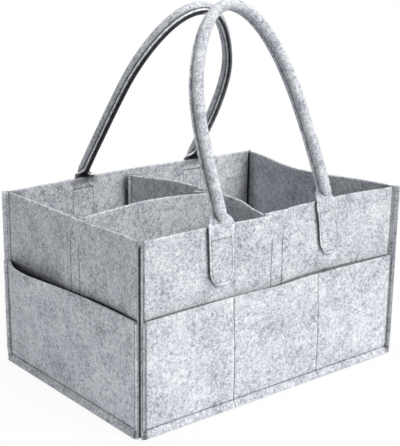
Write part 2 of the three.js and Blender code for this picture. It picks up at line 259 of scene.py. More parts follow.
# %% Floor
FLOOR_DROP = 0.0005
floor_mesh = bpy.data.meshes.new("floor")
floor_corners = [(-0.5, -0.5, 0), (0.5, -0.5, 0), (0.5, 0.5, 0), (-0.5, 0.5, 0)]
floor_mesh.from_pydata(floor_corners, [], [(0, 1, 2, 3)])
floor = bpy.data.objects.new("floor", floor_mesh)
floor.location.z = -FLOOR_DROP
bpy.context.scene.collection.objects.link(floor)
floor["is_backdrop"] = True
paper = bpy.data.materials.new("paper")
paper.use_nodes = True
paper_shader = paper.node_tree.nodes["Principled BSDF"]
paper_shader.inputs["Base Color"].default_value = (0.86, 0.87, 0.89, 1)
paper_shader.inputs["Roughness"].default_value = 0.9
white_to_camera(paper.node_tree, paper_shader, "Material Output", 0.93)
floor_mesh.materials.append(paper)
print("the floor is", floor.dimensions.x, "m across")

# %% [markdown]
# ## Light
# One big soft lamp stands in front, up to the right, and a weaker one hangs overhead and keeps the
# handles and rims pale. A small low lamp by the left end lifts that end a little. A sun lamp would be
# simpler, but its hard shadows don't suit a studio. The paper throws light back up on the outside of the
# box, and the faces that don't see it stay darker, so the box reads as three greys.

# %% Lamps
AIM = (0, 0, 0.12)
LAMPS = {  # place in metres, width of the disk in metres, power in watts
    "key": ((0.66, -2.04, 1.92), 2.2, 74),
    "top": ((0, 0.49, 2.88), 1.4, 30),
    "end": ((-1.97, -0.35, 0.16), 0.4, 5),
}
for name, (place, size, power) in LAMPS.items():
    light = bpy.data.lights.new(name, "AREA")
    light.shape = "DISK"
    light.size = size
    light.energy = power
    lamp = bpy.data.objects.new(name, light)
    bpy.context.scene.collection.objects.link(lamp)
    away = np.array(place, float) - np.array(AIM, float)
    away /= np.linalg.norm(away)
    across = np.cross((0, 0, 1), away)
    across /= np.linalg.norm(across)
    lamp.matrix_world = placed(across, np.cross(away, across), away, place)
    print("lamp", name, power, "W")

# %% [markdown]
# ## Felt, thread, tape and cotton
# Needle felt has no weave. It is a mat of short fibres, and a heathered one mixes white, grey and dark
# fibres. Real fibres could be drawn with hair, but there would be millions. The material adds soft clouds
# a centimetre across, grains of a millimetre or two, and thin crossing lines for single fibres, and the
# same grains raise the surface a little. A sheen stands for the loose fibres on top.
#
# Shade and light are also painted into the felt's colour: painted shade in its pinched rows of stitches,
# in seams, slits, corners, pocket mouths and hollows, and a painted highlight along raw edges. Each
# sheet carries that as one number at each of its points, and the material scales its colour by it.


# %% Colour of mixed fibres
def node_with(tree, kind, **sockets):
    node = tree.nodes.new(kind)
    for name, value in sockets.items():
        node.inputs[name].default_value = value
    return node


def fibre_colour(tree, mixed, dark, middle, light):
    """The colour of mixed fibres, scaled by the painted shade and highlight at each point."""
    ramp = tree.nodes.new("ShaderNodeValToRGB")
    ramp.color_ramp.elements[0].position = 0.37
    ramp.color_ramp.elements[0].color = (*dark, 1)
    ramp.color_ramp.elements[1].position = 0.61
    ramp.color_ramp.elements[1].color = (*light, 1)
    ramp.color_ramp.elements.new(0.49).color = (*middle, 1)
    tree.links.new(mixed, ramp.inputs["Fac"])
    # the painted shade and highlight of each point, read from its mesh
    painted_shade = tree.nodes.new("ShaderNodeAttribute")
    painted_shade.attribute_name = "painted_shade"
    toned = tree.nodes.new("ShaderNodeVectorMath")
    toned.operation = "SCALE"
    tree.links.new(ramp.outputs["Color"], toned.inputs[0])
    tree.links.new(maths(tree, "ADD", painted_shade.outputs["Fac"], 1.0), toned.inputs["Scale"])
    return toned.outputs[0]


print("fibre colours come from a ramp of three, scaled by the tone")

# %% [markdown]
# ## The fibre material
# Here the clouds, grains, specks and fibres are mixed to one value, which picks the colour, and to
# another, which raises the surface. The textures use the object's own coordinates, so they stay on the
# felt when a piece moves. An unwrapped picture of felt would need one for each piece, and would repeat.


# %% Fibre material
def fibre_material(name, dark, middle, light, sheen, bump):
    material = bpy.data.materials.new(name)
    material.use_nodes = True
    tree = material.node_tree
    shader = tree.nodes["Principled BSDF"]
    shader.inputs["Roughness"].default_value = 0.95
    shader.inputs["Specular IOR Level"].default_value = 0.15
    shader.inputs["Sheen Weight"].default_value = sheen
    shader.inputs["Sheen Roughness"].default_value = 0.55
    noise = "ShaderNodeTexNoise"
    clouds = node_with(tree, noise, Scale=38.0, Detail=3.0, Roughness=0.6)
    grains = node_with(tree, noise, Scale=230.0, Detail=4.0, Roughness=0.62, Distortion=0.7)
    specks = node_with(tree, noise, Scale=620.0, Detail=2.0, Roughness=0.6)
    fibres = node_with(tree, noise, Scale=330.0, Detail=1.0, Roughness=0.4, Distortion=1.6)
    place = tree.nodes.new("ShaderNodeTexCoord").outputs["Object"]
    for node in (clouds, grains, specks, fibres):
        tree.links.new(place, node.inputs["Vector"])
    strand = maths(tree, "ABSOLUTE", maths(tree, "SUBTRACT", fibres.outputs["Fac"], 0.5), 0.0)
    strand = maths(tree, "MINIMUM", maths(tree, "MULTIPLY", strand, 9.0), 1.0)
    mixed = maths(tree, "MULTIPLY", clouds.outputs["Fac"], 0.22)
    mixed = maths(tree, "ADD", mixed, maths(tree, "MULTIPLY", grains.outputs["Fac"], 0.40))
    mixed = maths(tree, "ADD", mixed, maths(tree, "MULTIPLY", specks.outputs["Fac"], 0.38))
    mixed = maths(tree, "ADD", mixed, maths(tree, "MULTIPLY", maths(tree, "SUBTRACT", strand, 0.75), 0.06))
    tree.links.new(fibre_colour(tree, mixed, dark, middle, light), shader.inputs["Base Color"])
    height = maths(tree, "ADD", grains.outputs["Fac"], maths(tree, "MULTIPLY", specks.outputs["Fac"], 0.7))
    height = maths(tree, "ADD", height, maths(tree, "MULTIPLY", strand, 0.25))
    raised = node_with(tree, "ShaderNodeBump", Strength=bump, Distance=0.0012)
    tree.links.new(height, raised.inputs["Height"])
    tree.links.new(raised.outputs["Normal"], shader.inputs["Normal"])
    return material


print("one material function serves all the fibres")

# %% [markdown]
# ## Five finishes
# Thread, tape and cotton are made of fibres too, so they could have materials of their own, but the same
# nodes do for all of them in other colours. The tape is rougher than the felt, and the thread is smoother
# and much darker.

# %% Finishes
FINISHES = {  # dark, middle and light fibres, sheen, bump
    "heather_felt": ((0.24, 0.255, 0.285), (0.60, 0.615, 0.65), (0.88, 0.89, 0.91), 0.15, 0.5),
    "thread": ((0.06, 0.065, 0.075), (0.13, 0.135, 0.15), (0.22, 0.23, 0.25), 0.1, 0.25),
    "pale_thread": ((0.2, 0.21, 0.23), (0.32, 0.33, 0.35), (0.46, 0.47, 0.49), 0.1, 0.25),
    "loop_tape": ((0.26, 0.27, 0.29), (0.42, 0.43, 0.45), (0.56, 0.57, 0.60), 0.35, 0.8),
    "cotton_cord": ((0.45, 0.44, 0.41), (0.66, 0.65, 0.61), (0.80, 0.79, 0.75), 0.2, 0.5),
}
made = [fibre_material(name, *finish) for name, finish in FINISHES.items()]
felt, thread, pale_thread, tape, cotton = made
print("finishes:", [material.name for material in made])

# %% [markdown]
# ## A piece
# A mesh is a list of points and a list of faces. Every piece of the caddy is made from such lists, rides
# on a body of the frame, stands in for the solids that it covers, and says which finish it takes. One
# helper does that, so no piece is forgotten.


# %% A piece from points and faces
def new_piece(name, points, faces, material, body, nodes):
    """Make an object from points in millimetres, on its body if it has one."""
    mesh = bpy.data.meshes.new(name)
    mesh.from_pydata((points / MM).tolist(), [], faces)
    mesh.polygons.foreach_set("use_smooth", np.ones(len(mesh.polygons), bool))
    mesh.materials.append(material)
    mesh.validate()
    mesh.update()
    piece = bpy.data.objects.new(name, mesh)
    bpy.context.scene.collection.objects.link(piece)
    if body:
        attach(piece, body)
    if nodes:
        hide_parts(*nodes)
    return piece


print("one function makes every piece")

# %% [markdown]
# ## A felt sheet
# A plane with a Solidify modifier would give a sheet of even thickness with square edges. Real felt has
# rounded raw edges and is squeezed thin in its seams. So one function says where the middle of the sheet
# lies for each place on the flat cut, another says how thick it is there, and a third gives the shade and
# highlight painted into its colour there. The two faces are set off from the middle, and the thickness
# falls away over the last millimetre, which rounds the raw edge.


# %% Felt sheets
def facing(where, s, t):
    """Which way the sheet faces at each place, from two short moves along it."""
    e = 0.05
    along = where(s + e, t) - where(s - e, t)
    up = where(s, t + e) - where(s, t - e)
    normal = np.cross(along, up)
    return normal / np.maximum(np.linalg.norm(normal, axis=-1, keepdims=True), 1e-9)


def sheet_faces(rows, columns):
    """Faces of two grids of points, one behind the other, closed round their border."""
    count = rows * columns
    index = np.arange(count).reshape(rows, columns)
    quads = np.stack([index[:-1, :-1], index[:-1, 1:], index[1:, 1:], index[1:, :-1]], -1).reshape(-1, 4)
    border = np.concatenate([index[0, :-1], index[:-1, -1], index[-1, :0:-1], index[:0:-1, 0]])
    following = np.roll(border, -1)
    edge = np.stack([following, border, border + count, following + count], -1)
    return np.concatenate([quads, quads[:, ::-1] + count, edge]).tolist()


def felt_sheet(name, form, s, t, body, nodes, material=felt, rim=1.2):
    """A sheet over the places s across and t up. Its form has where, thick and shade."""
    grid_s, grid_t = np.meshgrid(s, t)
    middle = form.where(grid_s, grid_t)
    normal = facing(form.where, grid_s, grid_t)
    from_side = np.minimum(grid_s - s[0], s[-1] - grid_s)
    from_end = np.minimum(grid_t - t[0], t[-1] - grid_t)
    inward = np.clip(np.minimum(from_side, from_end) / rim, 0.05, 1)
    roundness = np.sqrt(1 - (1 - inward) ** 2)
    offset = normal * (form.thick(grid_s, grid_t) * roundness / 2)[..., None]
    points = np.concatenate([(middle + offset).reshape(-1, 3), (middle - offset).reshape(-1, 3)])
    piece = new_piece(name, points, sheet_faces(*grid_s.shape), material, body, nodes)
    # painted shade and highlight for the outer and the inner face
    painted_shades = np.concatenate([form.shade(grid_s, grid_t, face) for face in (1, -1)])
    piece.data.attributes.new("painted_shade", "FLOAT", "POINT").data.foreach_set("value", painted_shades.ravel())
    return piece


print("a sheet of 3 x 3 points has", len(sheet_faces(3, 3)), "faces")

# %% [markdown]
# ## How the walls have settled
# Felt walls that stand by themselves aren't flat. They dip near the pocket mouth, wave above it, and are
# held straight where the divider's tape is sewn on. The right end leans in at its rim, and the rims rise
# here and there. A cloth simulation could make dips, but not these ones. So each is written down as a
# smooth function of the place on the wall. A pocket on a long side lies on its wall. At the two ends the
# mouth gapes.

# %% Settled felt
DIP, DIP_HEIGHT, DIP_SPREAD = 3.4, 110, 34
WAVE = 1.2
HELD_AT, HELD_SPREAD = {"front": 0, "back": 2, "left": 5}, 30
RIGHT_LEAN = 18
GAPE, GAPE_PEAK = 12, 0.2
POCKET_FOOT = 5.6
LONG_SIDES = ("front", "back")


def settled(side, x, z):
    """How far a wall has moved out (+) or in (-) from its flat place."""
    half = SIDES[side][1]
    if side == "right":
        rise = np.clip((z - FOOT) / (RIM - FOOT), 0, 1) ** 1.6
        share = np.clip(0.5 + x / (2 * half), 0, 1)
        return -RIGHT_LEAN * rise * np.sin(np.pi * share) ** 2
    inner = np.clip(1 - (x / half) ** 2, 0, 1)
    free = 1 - bell(x - HELD_AT[side], HELD_SPREAD)
    dip = -DIP * bell(z - DIP_HEIGHT, DIP_SPREAD) * free * inner
    wave = WAVE * step(120, RIM, z) * np.sin(x / half * 5.2 + 0.7) * free * inner
    return dip + wave


def rim_lift(side, x):
    """How much higher than the even rim a wall was cut or pulled up, along the wall."""
    if side == "front":
        return 4.4 * step(-22, 30, x) * (1 - 0.55 * step(85, 165, x)) + 1.9 * step(-25, -130, x)
    if side == "right":
        return 2.6 * step(30, -90, x) - 0.9 * bell(x - 45, 30)
    if side == "back":
        return 2.6 * (1 - (x / SIDES[side][1]) ** 2)
    return 1.9 * step(20, 100, x)


def stand_off(side, x, z):
    """How far a pocket stands off its flat place: a long one follows its wall, an end one gapes."""
    if side in LONG_SIDES:
        return settled(side, x, z) * step(20, 75, z)
    rise = np.clip((z - POCKET_FOOT) / (MOUTH - POCKET_FOOT), 0, 1.2) ** 1.5
    share = np.clip(0.5 + x / (2 * SIDES[side][1]), 1e-6, 1)
    place = share ** (math.log(0.5) / math.log(GAPE_PEAK))
    return GAPE * rise * np.sin(np.pi * np.clip(place, 0, 1)) ** 3


print(f"the right rim leans in by {-settled('right', 0, RIM):.1f} mm")

# %% [markdown]
# ## Rows of stitches on the panels
# Rows of stitches press the felt in, so the panels have to know where they run: between the three pockets
# of a long side and along the loop tapes of the divider. They could be painted on later, but felt that is
# sewn is also pressed thin. The tapes' places are read from the frame. The rows of the front and the left
# tape lie a little beside the tape's middle.

# %% Rows of stitches
POCKET_SEAMS = {"front": (-56.0, 56.0), "back": (-56.0, 56.0), "left": (), "right": ()}
TAPE_ROW, TAPE_SEAM_TOP = 7.0, 160
TAPE_SHIFT = {"front": 1.8, "back": 0.0, "left": -1.8}


def tape_rows(side):
    """Where the two rows of stitches that hold the loop tape stand on a wall."""
    if side == "right":
        return []
    low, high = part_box(f"{side}_loop_tape")
    middle = (low + high) / 2 * MM
    along = {"front": middle.x, "back": -middle.x, "left": -middle.y}[side] + TAPE_SHIFT[side]
    return [along - TAPE_ROW, along + TAPE_ROW]


print("rows on the front wall:", [round(x, 1) for x in tape_rows("front")])

# %% [markdown]
# ## Marks of the handles' feet
# A handle's foot is sewn right through the wall, so its stitches show inside as a pressed row with two
# uprights. The row and the uprights are painted shade, with a painted highlight under the row, and the
# band under the rim above them is a painted shadow of the foot. A groove in the mesh would be too fine to
# see, so this mark is only painted into the colour.

# %% Marks of the feet
FEET = {"front": (-73.0, 63.0), "back": (-74.0, 75.0), "left": (), "right": ()}
FOOT_SEAM, FOOT_ROW = 12.9, 11.2  # half the width of a foot's seam inside, and its depth under the rim


def foot_painted_shade(s, z, foot):
    """The painted shade, highlight and shadow that a handle's foot leaves on the inside of its wall."""
    below, aside = RIM - FOOT_ROW - z, np.abs(s - foot) - FOOT_SEAM
    row = 0.25 * bell(below - 1.6, 0.9) - 0.7 * bell(below, 0.8)
    upright = -0.4 * bell(aside, 0.8) * step(-0.5, 0.5, below) * step(45, 40, below)
    # painted shadow of the foot in a band under the rim
    foot_painted_shadow = -0.34 * step(RIM - 7, RIM - 6, z) * step(RIM - 0.5, RIM - 1.8, z)
    return step(3, 1, aside) * (row * step(0.8, -0.2, aside) + foot_painted_shadow) + upright


print("feet on the front wall:", FEET["front"])

# %% [markdown]
# ## The walls
# The panels are sewn with their raw edges outside, so a wall turns out by 45 degrees at a corner and lies
# in the seam lip beside its neighbour. Four separate plates with a gap would be easier, but the pinched
# lip is what makes the corner look sewn. Shade is painted into the colour: in the slit of the corner and
# the inside corners, in the valley of the outer corner, on the lips of the long sides, along the tape's
# rows, and as the shadow in the pocket mouth.

# %% Walls
DIAGONAL = math.sqrt(0.5)
WALL_LIP = 8.27
# painted shade on the corner lips, on the long sides only
LIP_SHADE = {"front": -0.4, "back": -0.4, "left": 0.0, "right": 0.0}


def turned(points, degrees):
    """Points of the front, turned about the upright axis to another side."""
    angle = math.radians(degrees)
    x = points[..., 0] * math.cos(angle) - points[..., 1] * math.sin(angle)
    y = points[..., 0] * math.sin(angle) + points[..., 1] * math.cos(angle)
    return np.stack([x, y, points[..., 2]], -1)


def wall(side):
    turn, half, depth = SIDES[side]
    corner = half + FELT / 2 - math.sqrt(2) * (GAP + LIP_FELT) / 2
    reach = corner + WALL_LIP
    feet = [foot + d for foot in FEET[side] for d in (-FOOT_SEAM, FOOT_SEAM)]

    def where(s, t):
        z = FOOT + t * (1 + rim_lift(side, s) / (RIM - FOOT))
        bend = soft_corner(np.abs(s) - corner, 1.3)
        x = np.sign(s) * (np.abs(s) - bend * (1 - DIAGONAL))
        out = FELT / 2 + bend * DIAGONAL + settled(side, x, z)
        return turned(np.stack([x, -(depth + out), z], -1), turn)

    def thick(s, t):
        lip = step(corner - 1, corner + 2.5, np.abs(s))
        return FELT - (FELT - LIP_FELT - 0.25) * lip - 1.2 * bell(np.abs(s) - corner - 0.4, 1.5)

    def inner_painted_shade(a, s, z):
        # painted shade in the corner slit and the inside corners, and the feet's painted marks
        corner_slit_shade = -0.9 * step(corner - 2.6, corner - 0.4, a) * step(RIM - 0.5, RIM - 4, z)
        shown = np.minimum(corner_slit_shade, -0.4 * bell(corner - a, 13))
        for foot in FEET[side]:
            shown = shown + foot_painted_shade(s, z, foot)
        return np.clip(shown, -0.9, 0.3)

    def outer_painted_shade(a, s, z):
        # painted shadow in the pocket mouth, deeper where the pocket gapes
        if side in LONG_SIDES:
            mouth = -0.5 * step(MOUTH + 0.6, MOUTH - 0.5, z) - 0.2 * bell(z - MOUTH, 7)
        else:
            lit = MOUTH - 0.4 * stand_off(side, s, MOUTH)
            mouth = -0.8 * step(lit + 1.0, lit - 1.5, z) - 0.3 * step(MOUTH + 8, MOUTH - 4, z)
        mouth = mouth * step(corner + 1.0, corner - 0.5, a)
        # painted shade in the corner valley, on the lips and along the tape's rows
        valley_shade = -0.7 * bell(a - corner, 1.3) + LIP_SHADE[side] * step(corner + 0.6, corner + 1.8, a)
        rows = sum(bell(s - x, 0.7) for x in tape_rows(side))
        row_shading = -0.45 * rows * step(TAPE_SEAM_TOP + 2, TAPE_SEAM_TOP - 2, z)
        return np.clip(mouth + valley_shade + row_shading, -0.9, 0)

    def shade(s, t, face):
        painted_shade = outer_painted_shade if face > 0 else inner_painted_shade
        return painted_shade(np.abs(s), s, FOOT + t)

    return SimpleNamespace(
        where=where, thick=thick, shade=shade, corner=corner, reach=reach, height=RIM - FOOT,
        across=[-corner, corner, *tape_rows(side), *feet],
        levels=[MOUTH - FOOT, RIM - FOOT_ROW - FOOT, RIM - 6 - FOOT])


print("a wall's corner is", round(wall("front").corner, 1), "mm from its middle")

# %% [markdown]
# ## The pockets
# A pocket is a lower strip of felt over the wall, sewn in the same corner lips and along the base. Below
# the row of stitches at its foot it flares out over the edge of the base, and its lips fade away there.
# It could be a copy of the wall, but its flare and its corners differ, so it has a shape of its own.

# %% Pockets
SEAM = 7.6  # height of the row of stitches along the base
BAND = 8.0  # width of the flared felt below that row
FLARE = math.radians(33)
POCKET_LIP = 5.9


def pocket(side):
    turn, half, depth = SIDES[side]
    flat_out = 1.5 * FELT + GAP
    flat_mitre = GAP * 1.5 + LIP_FELT * 1.5
    flat_corner = half + flat_out - math.sqrt(2) * flat_mitre
    reach = flat_corner + POCKET_LIP
    height = MOUTH - SEAM + BAND

    def where(s, t):
        up = t - BAND
        below = soft_corner(-up, 0.9)
        z = SEAM + up + below * (1 - math.cos(FLARE))
        lip = 0.6 + 5.3 * step(-7, 2.5, up)
        mitre = 1.3 + (flat_mitre - 1.3) * step(-7, 3, up)
        out = flat_out - 0.9 * bell(up, 3.0) + below * math.sin(FLARE)
        corner = half + out - math.sqrt(2) * mitre
        a = np.abs(s) / reach * (corner + lip)
        rounding = 2.2 * (below / BAND) * step(9, 0, corner - a) ** 2
        bend = soft_corner(a - corner, 0.8)
        x = np.sign(s) * (a - bend * (1 - DIAGONAL) - rounding)
        out = out - rounding + bend * DIAGONAL + stand_off(side, x, z)
        return turned(np.stack([x, -(depth + out), z], -1), turn)

    def thick(s, t):
        lip = step(flat_corner - 1, flat_corner + 2.5, np.abs(s))
        pinch = 0.9 * bell(t - BAND, 0.9) + sum(bell(s - x, 0.9) for x in POCKET_SEAMS[side])
        return FELT - (FELT - LIP_FELT) * lip - pinch

    def shade(s, t, face):
        # painted shade inside the pocket, in the corner valley, on the lips and along the rows
        a = np.abs(s)
        if face < 0:
            return -0.75 * step(0.8, 4, height - t) * step(flat_corner + 1, flat_corner - 1, a)
        rows = POCKET_SEAMS[side]
        # a painted highlight beside each row, and painted shade on it
        row_shading = sum(0.2 * bell(s - x + 1.9, 0.8) - 0.55 * bell(s - x, 0.7) for x in rows)
        valley_shade = -0.75 * bell(a - flat_corner, 1.2) - 0.4 * bell(a - flat_corner - 2.0, 0.7)
        valley_shade = valley_shade + LIP_SHADE[side] * step(flat_corner + 0.6, flat_corner + 1.8, a)
        return np.clip(row_shading + valley_shade - 0.6 * bell(t - BAND, 0.9), -0.9, 0.3)

    return SimpleNamespace(
        where=where, thick=thick, shade=shade, corner=flat_corner, reach=reach, height=height,
        across=[-flat_corner, flat_corner, *POCKET_SEAMS[side]], levels=[BAND])


print("a pocket's corner is", round(pocket("front").corner, 1), "mm from its middle")

# %% [markdown]
# ## Cutting the panels
# Each side has one wall and one pocket. They could be one mesh, but they are two cuts of felt, so they
# are two pieces, and each says how large its flat cut is.

# %% Panels
PANEL_PACE = 6
panels = {}
for side in SIDES:
    for layer, form in (("wall", wall(side)), ("pocket", pocket(side))):
        reach, height = form.reach, form.height
        s = places(2 * reach, PANEL_PACE, [reach + x for x in form.across]) - reach
        t = places(height, PANEL_PACE, form.levels)
        piece = felt_sheet(f"{side}_{layer}_felt", form, s, t, "caddy", [f"{side}_{layer}"])
        panels[side, layer] = form
        print(piece.name, f"cut {2 * reach:.0f} x {height:.0f} mm,", len(piece.data.vertices), "vertices")

# %% [markdown]
# ## The base
# The base is one flat felt panel with rounded corners, and its edge lies under the flared foot of the
# pockets. A disc-shaped mesh could round the corners, but its rows would be uneven. Here a square grid is
# drawn in at its four corners, so that the sheet keeps even rows and still has a round outline.

# %% Base
BASE_OUT, BASE_CORNER, BASE_PACE = 5.4, 9.0, 9
BASE_CLEAR = 0.1  # room under the base and over it
base_x, base_y = HALF_LENGTH + BASE_OUT, HALF_WIDTH + BASE_OUT


def base_where(s, t):
    over_x = np.clip((np.abs(s) - (base_x - BASE_CORNER)) / BASE_CORNER, 0, 1.2)
    over_y = np.clip((np.abs(t) - (base_y - BASE_CORNER)) / BASE_CORNER, 0, 1.2)
    x = s - np.sign(s) * BASE_CORNER * over_x * (1 - np.sqrt(np.clip(1 - over_y ** 2 / 2, 0, 1)))
    y = t - np.sign(t) * BASE_CORNER * over_y * (1 - np.sqrt(np.clip(1 - over_x ** 2 / 2, 0, 1)))
    return np.stack([x, y, np.full_like(x, FELT / 2 + BASE_CLEAR)], -1)


def no_painted_shade(s, t, face):
    return np.zeros_like(s)


def base_thickness(s, t):
    return np.full_like(s, FELT - 2 * BASE_CLEAR)


base_form = SimpleNamespace(where=base_where, thick=base_thickness, shade=no_painted_shade)
base_s = places(2 * base_x, BASE_PACE) - base_x
base_t = places(2 * base_y, BASE_PACE) - base_y
base = felt_sheet("base_felt", base_form, base_s, base_t, "caddy", ["base_panel"])
print("base", len(base.data.vertices), "vertices")

# %% [markdown]
# ## The handles: sizes
# A handle is one long felt strip. Its ends are flat tongues sewn to the wall. Above the rim the strip
# closes round a cord, and its two raw edges meet in a narrow sewn lip on the inside. A curve with a round
# bevel would give the tube alone. Here the strip is drawn whole, so that the tongue, the foot and the
# tube are one sheet.
#
# Each leg has two flaps, and most of them open in their own way at the foot. The values below are given
# for the first and the second leg, or for the four flaps: two on the first leg, two on the second. They
# say between which heights a flap closes, whether it unrolls or opens flat behind a crease, how wide it
# is half way (its leaf) and at the rim, how wide the painted shade in its crease is and how dark its
# painted shadow, how a tongue hangs off to one side, how long and wide it is, and where it is sewn across.

# %% Handle sizes
CORD = 4.0  # thickness of the cord
NECK = 2.0  # radius of the turn from the tube into the lip
HANDLE_LIP = 4.0  # width of the lip
TUBE = (CORD / 2 + GAP) / math.cos(math.pi / 10) + FELT / 2
NECK_TURN = math.pi - math.asin(((LIP_FELT + GAP) / 2 + NECK) / (TUBE + NECK))
ROUND = TUBE * NECK_TURN
NECK_END = ROUND + NECK * (NECK_TURN - math.pi / 2)
LIP_TURN = math.pi / 2 - 0.42
STRAP = 2 * (NECK_END + HANDLE_LIP)
HALF_STRAP = STRAP / 2
HINGE_OUT = 4.8  # how far outside the inner face of the wall the hinge lies
HINGE = RIM + 5
TONGUE_SEAM = 3.2  # how far the row of stitches is from the tongue's edge
LIP_SEAM = 0.8  # how far the lip's row is from the neck
HANDLES = {
    "front": SimpleNamespace(
        height=201.5, lean=22.5, twist=14, bend=(-6, 6),
        foot=((-2.5, 0.07), (-2.6, 0.195)), tongue=(62.0, 58.0), tongue_share=(0.95, 0.87),
        sewn_row=(16.0, 11.5), rim_share=(0.95, 1.07, 0.66, 0.95), leaf=(0.62, 1.0, 1.15, 0.72),
        closing=((-6, 13), (-8, 24), (-3, 14), (-1, 12)), unrolled=(0, 1, 1, 0),
        crease=(2.4, 1.3, 1.3, 1.3), shadow=(0, 0, 0, 0)),
    "back": SimpleNamespace(
        height=210, lean=30.5, twist=-17, bend=(-5, 13),
        foot=((-3.3, 0.0), (-5.7, 0.0)), tongue=(59.0, 59.0), tongue_share=(0.93, 0.93),
        sewn_row=(16.0, 16.0), rim_share=(0.86, 0.86, 0.86, 0.72), leaf=(1.0, 1.0, 1.0, 0.75),
        closing=((-7, 12), (-9, 17), (-9, 17), (-7, 8)), unrolled=(1, 1, 1, 1),
        crease=(1.3, 1.3, 1.3, 1.3), shadow=(0, 0, 0, -0.6)),
}
print(f"the strip is {STRAP:.1f} mm wide and closes to a tube of {2 * TUBE + FELT:.1f} mm")

# %% [markdown]
# ## The handles: section
# Cut across, the closed strip looks like a keyhole: round the cord, back through a narrow neck, and
# straight out along the lip. It could be drawn as a few arcs, but the strip has to open too. So the
# section is drawn by walking along the half strip and turning as the felt turns. One number takes it from
# flat to closed. An unrolled flap turns by less everywhere as it opens. Any other flap opens flat behind
# a crease, while the bulge round the cord shrinks to nothing.

# %% Handle section
SECTION_PARTS = 240


def section(w, closed, unrolled):
    """Sideways place and depth of the felt's middle, w mm from the strip's middle line."""
    fine = np.linspace(0, HALF_STRAP, SECTION_PARTS + 1)
    middle = (fine[1:] + fine[:-1]) / 2
    share, even = closed[..., None], unrolled[..., None]
    bulge = ROUND * np.maximum(share, 0.03) ** (1 - even)
    peak = NECK_TURN * share ** (0.5 + 0.5 * even)
    turn = np.where(middle < bulge, peak * middle / bulge,
                    np.maximum(LIP_TURN * share, peak - (middle - bulge) / NECK))
    pace = fine[1] - fine[0]
    zero = np.zeros(w.shape + (1,))
    side = np.concatenate([zero, np.cumsum(np.cos(turn) * pace, -1)], -1)
    depth = np.concatenate([zero, np.cumsum(np.sin(turn) * pace, -1)], -1)
    at = np.clip(np.abs(w) / HALF_STRAP * SECTION_PARTS, 0, SECTION_PARTS)
    low = np.minimum(at.astype(int), SECTION_PARTS - 1)[..., None]
    part = at - low[..., 0]

    def pick(values):
        first = np.take_along_axis(values, low, -1)[..., 0]
        return first + part * (np.take_along_axis(values, low + 1, -1)[..., 0] - first)

    return np.sign(w) * pick(side), pick(depth)


edge_side, edge_depth = section(np.array([HALF_STRAP]), np.ones(1), np.ones(1))
print(f"closed, the raw edge lies {edge_side[0]:.1f} mm aside and {edge_depth[0]:.1f} mm deep")

# %% [markdown]
# ## The handles: arch and lean
# Seen from the front a handle is a squared arch, flatter on top than a half circle. Seen from the end it
# stands straight up from the rim, bends, and leans in over the box. A bone or a curve could bend it, but
# the tongues have to stay flat on the wall. So the arch and the lean are two tables along the strip,
# looked up at each point.


# %% Handle arch
def distances(line):
    """How far along a line each of its points lies."""
    return np.concatenate([[0], np.cumsum(np.linalg.norm(np.diff(line, axis=0), axis=1))])


def lay_out(handle, side):
    """Work out a handle's arch on its two feet, and the table of its lean."""
    handle.side = side
    handle.turn, _, handle.depth = SIDES[side]
    handle.half_span = (FEET[side][1] - FEET[side][0]) / 2
    handle.shift = (FEET[side][0] + FEET[side][1]) / 2
    angle = np.linspace(math.pi, 0, 4001)
    rise = np.sin(angle)
    squared = np.sign(np.cos(angle)) * np.sqrt(np.clip(1 - rise ** 3, 0, 1))
    handle.line = np.stack([handle.half_span * squared, handle.height * rise], -1)
    handle.paces = distances(handle.line)
    handle.length = handle.paces[-1]
    handle.up = np.linspace(-70, 260, 1321)
    handle.tilt = math.radians(handle.lean) * step(*handle.bend, handle.up)
    between = (handle.tilt[1:] + handle.tilt[:-1]) / 2
    pace = handle.up[1] - handle.up[0]
    handle.tilted_in = np.concatenate([[0], np.cumsum(np.sin(between))]) * pace
    handle.tilted_up = np.concatenate([[0], np.cumsum(np.cos(between))]) * pace + handle.up[0]


def spine(handle, run):
    """x and height above the hinge before it leans, a distance along the strip from the first hinge."""
    x = np.interp(run, handle.paces, handle.line[:, 0])
    up = np.interp(run, handle.paces, handle.line[:, 1])
    up = np.where(run < 0, run, np.where(run > handle.length, handle.length - run, up))
    return x, up


for side, handle in HANDLES.items():
    lay_out(handle, side)
    print(f"{side} handle: {handle.length:.0f} mm from hinge to hinge")

# %% [markdown]
# ## The handles: legs and flaps
# The strip is one sheet, so a place on it has to know which leg and which flap it belongs to. Two
# separate feet could be modelled by hand and joined on, with a visible join. Looking the values up by leg
# and by flap keeps the strip in one piece.


# %% Legs and flaps
def above_hinge(handle, run):
    """How far along its own leg a place on the strip lies above the hinge, or below it with a minus."""
    return np.minimum(run, handle.length - run)


def by_leg(handle, run, legs):
    return np.where(run < handle.length / 2, *legs)


def by_flap(handle, run, w, flaps):
    """The value of the flap that a place on the strip belongs to: two flaps on each of the two legs."""
    first_leg = np.where(w < 0, flaps[0], flaps[1])
    return by_leg(handle, run, (first_leg, np.where(w < 0, flaps[2], flaps[3])))


def closing(handle, run, w):
    """How far the flap on one side of the strip has closed, 0 to 1."""
    above = above_hinge(handle, run)
    return by_flap(handle, run, w, [step(*heights, above) for heights in handle.closing])


def from_tip(handle, run):
    """How far a place on the strip is from the round end of the tongue on its leg."""
    return np.minimum(run + handle.tongue[0], handle.length + handle.tongue[1] - run)


def from_edge(handle, s, run):
    return np.minimum(HALF_STRAP - np.abs(s), from_tip(handle, run))


def under_row(handle, run):
    """How far a place on the strip lies under the row of stitches across its tongue."""
    first, second = handle.sewn_row
    return by_leg(handle, run, (-first - run, run - handle.length - second))


def tip_width(from_end):
    """How much of the strip's width is left near the round end of a tongue."""
    return np.sqrt(1 - (1 - np.clip(from_end / HALF_STRAP, 0.0015, 1)) ** 2)


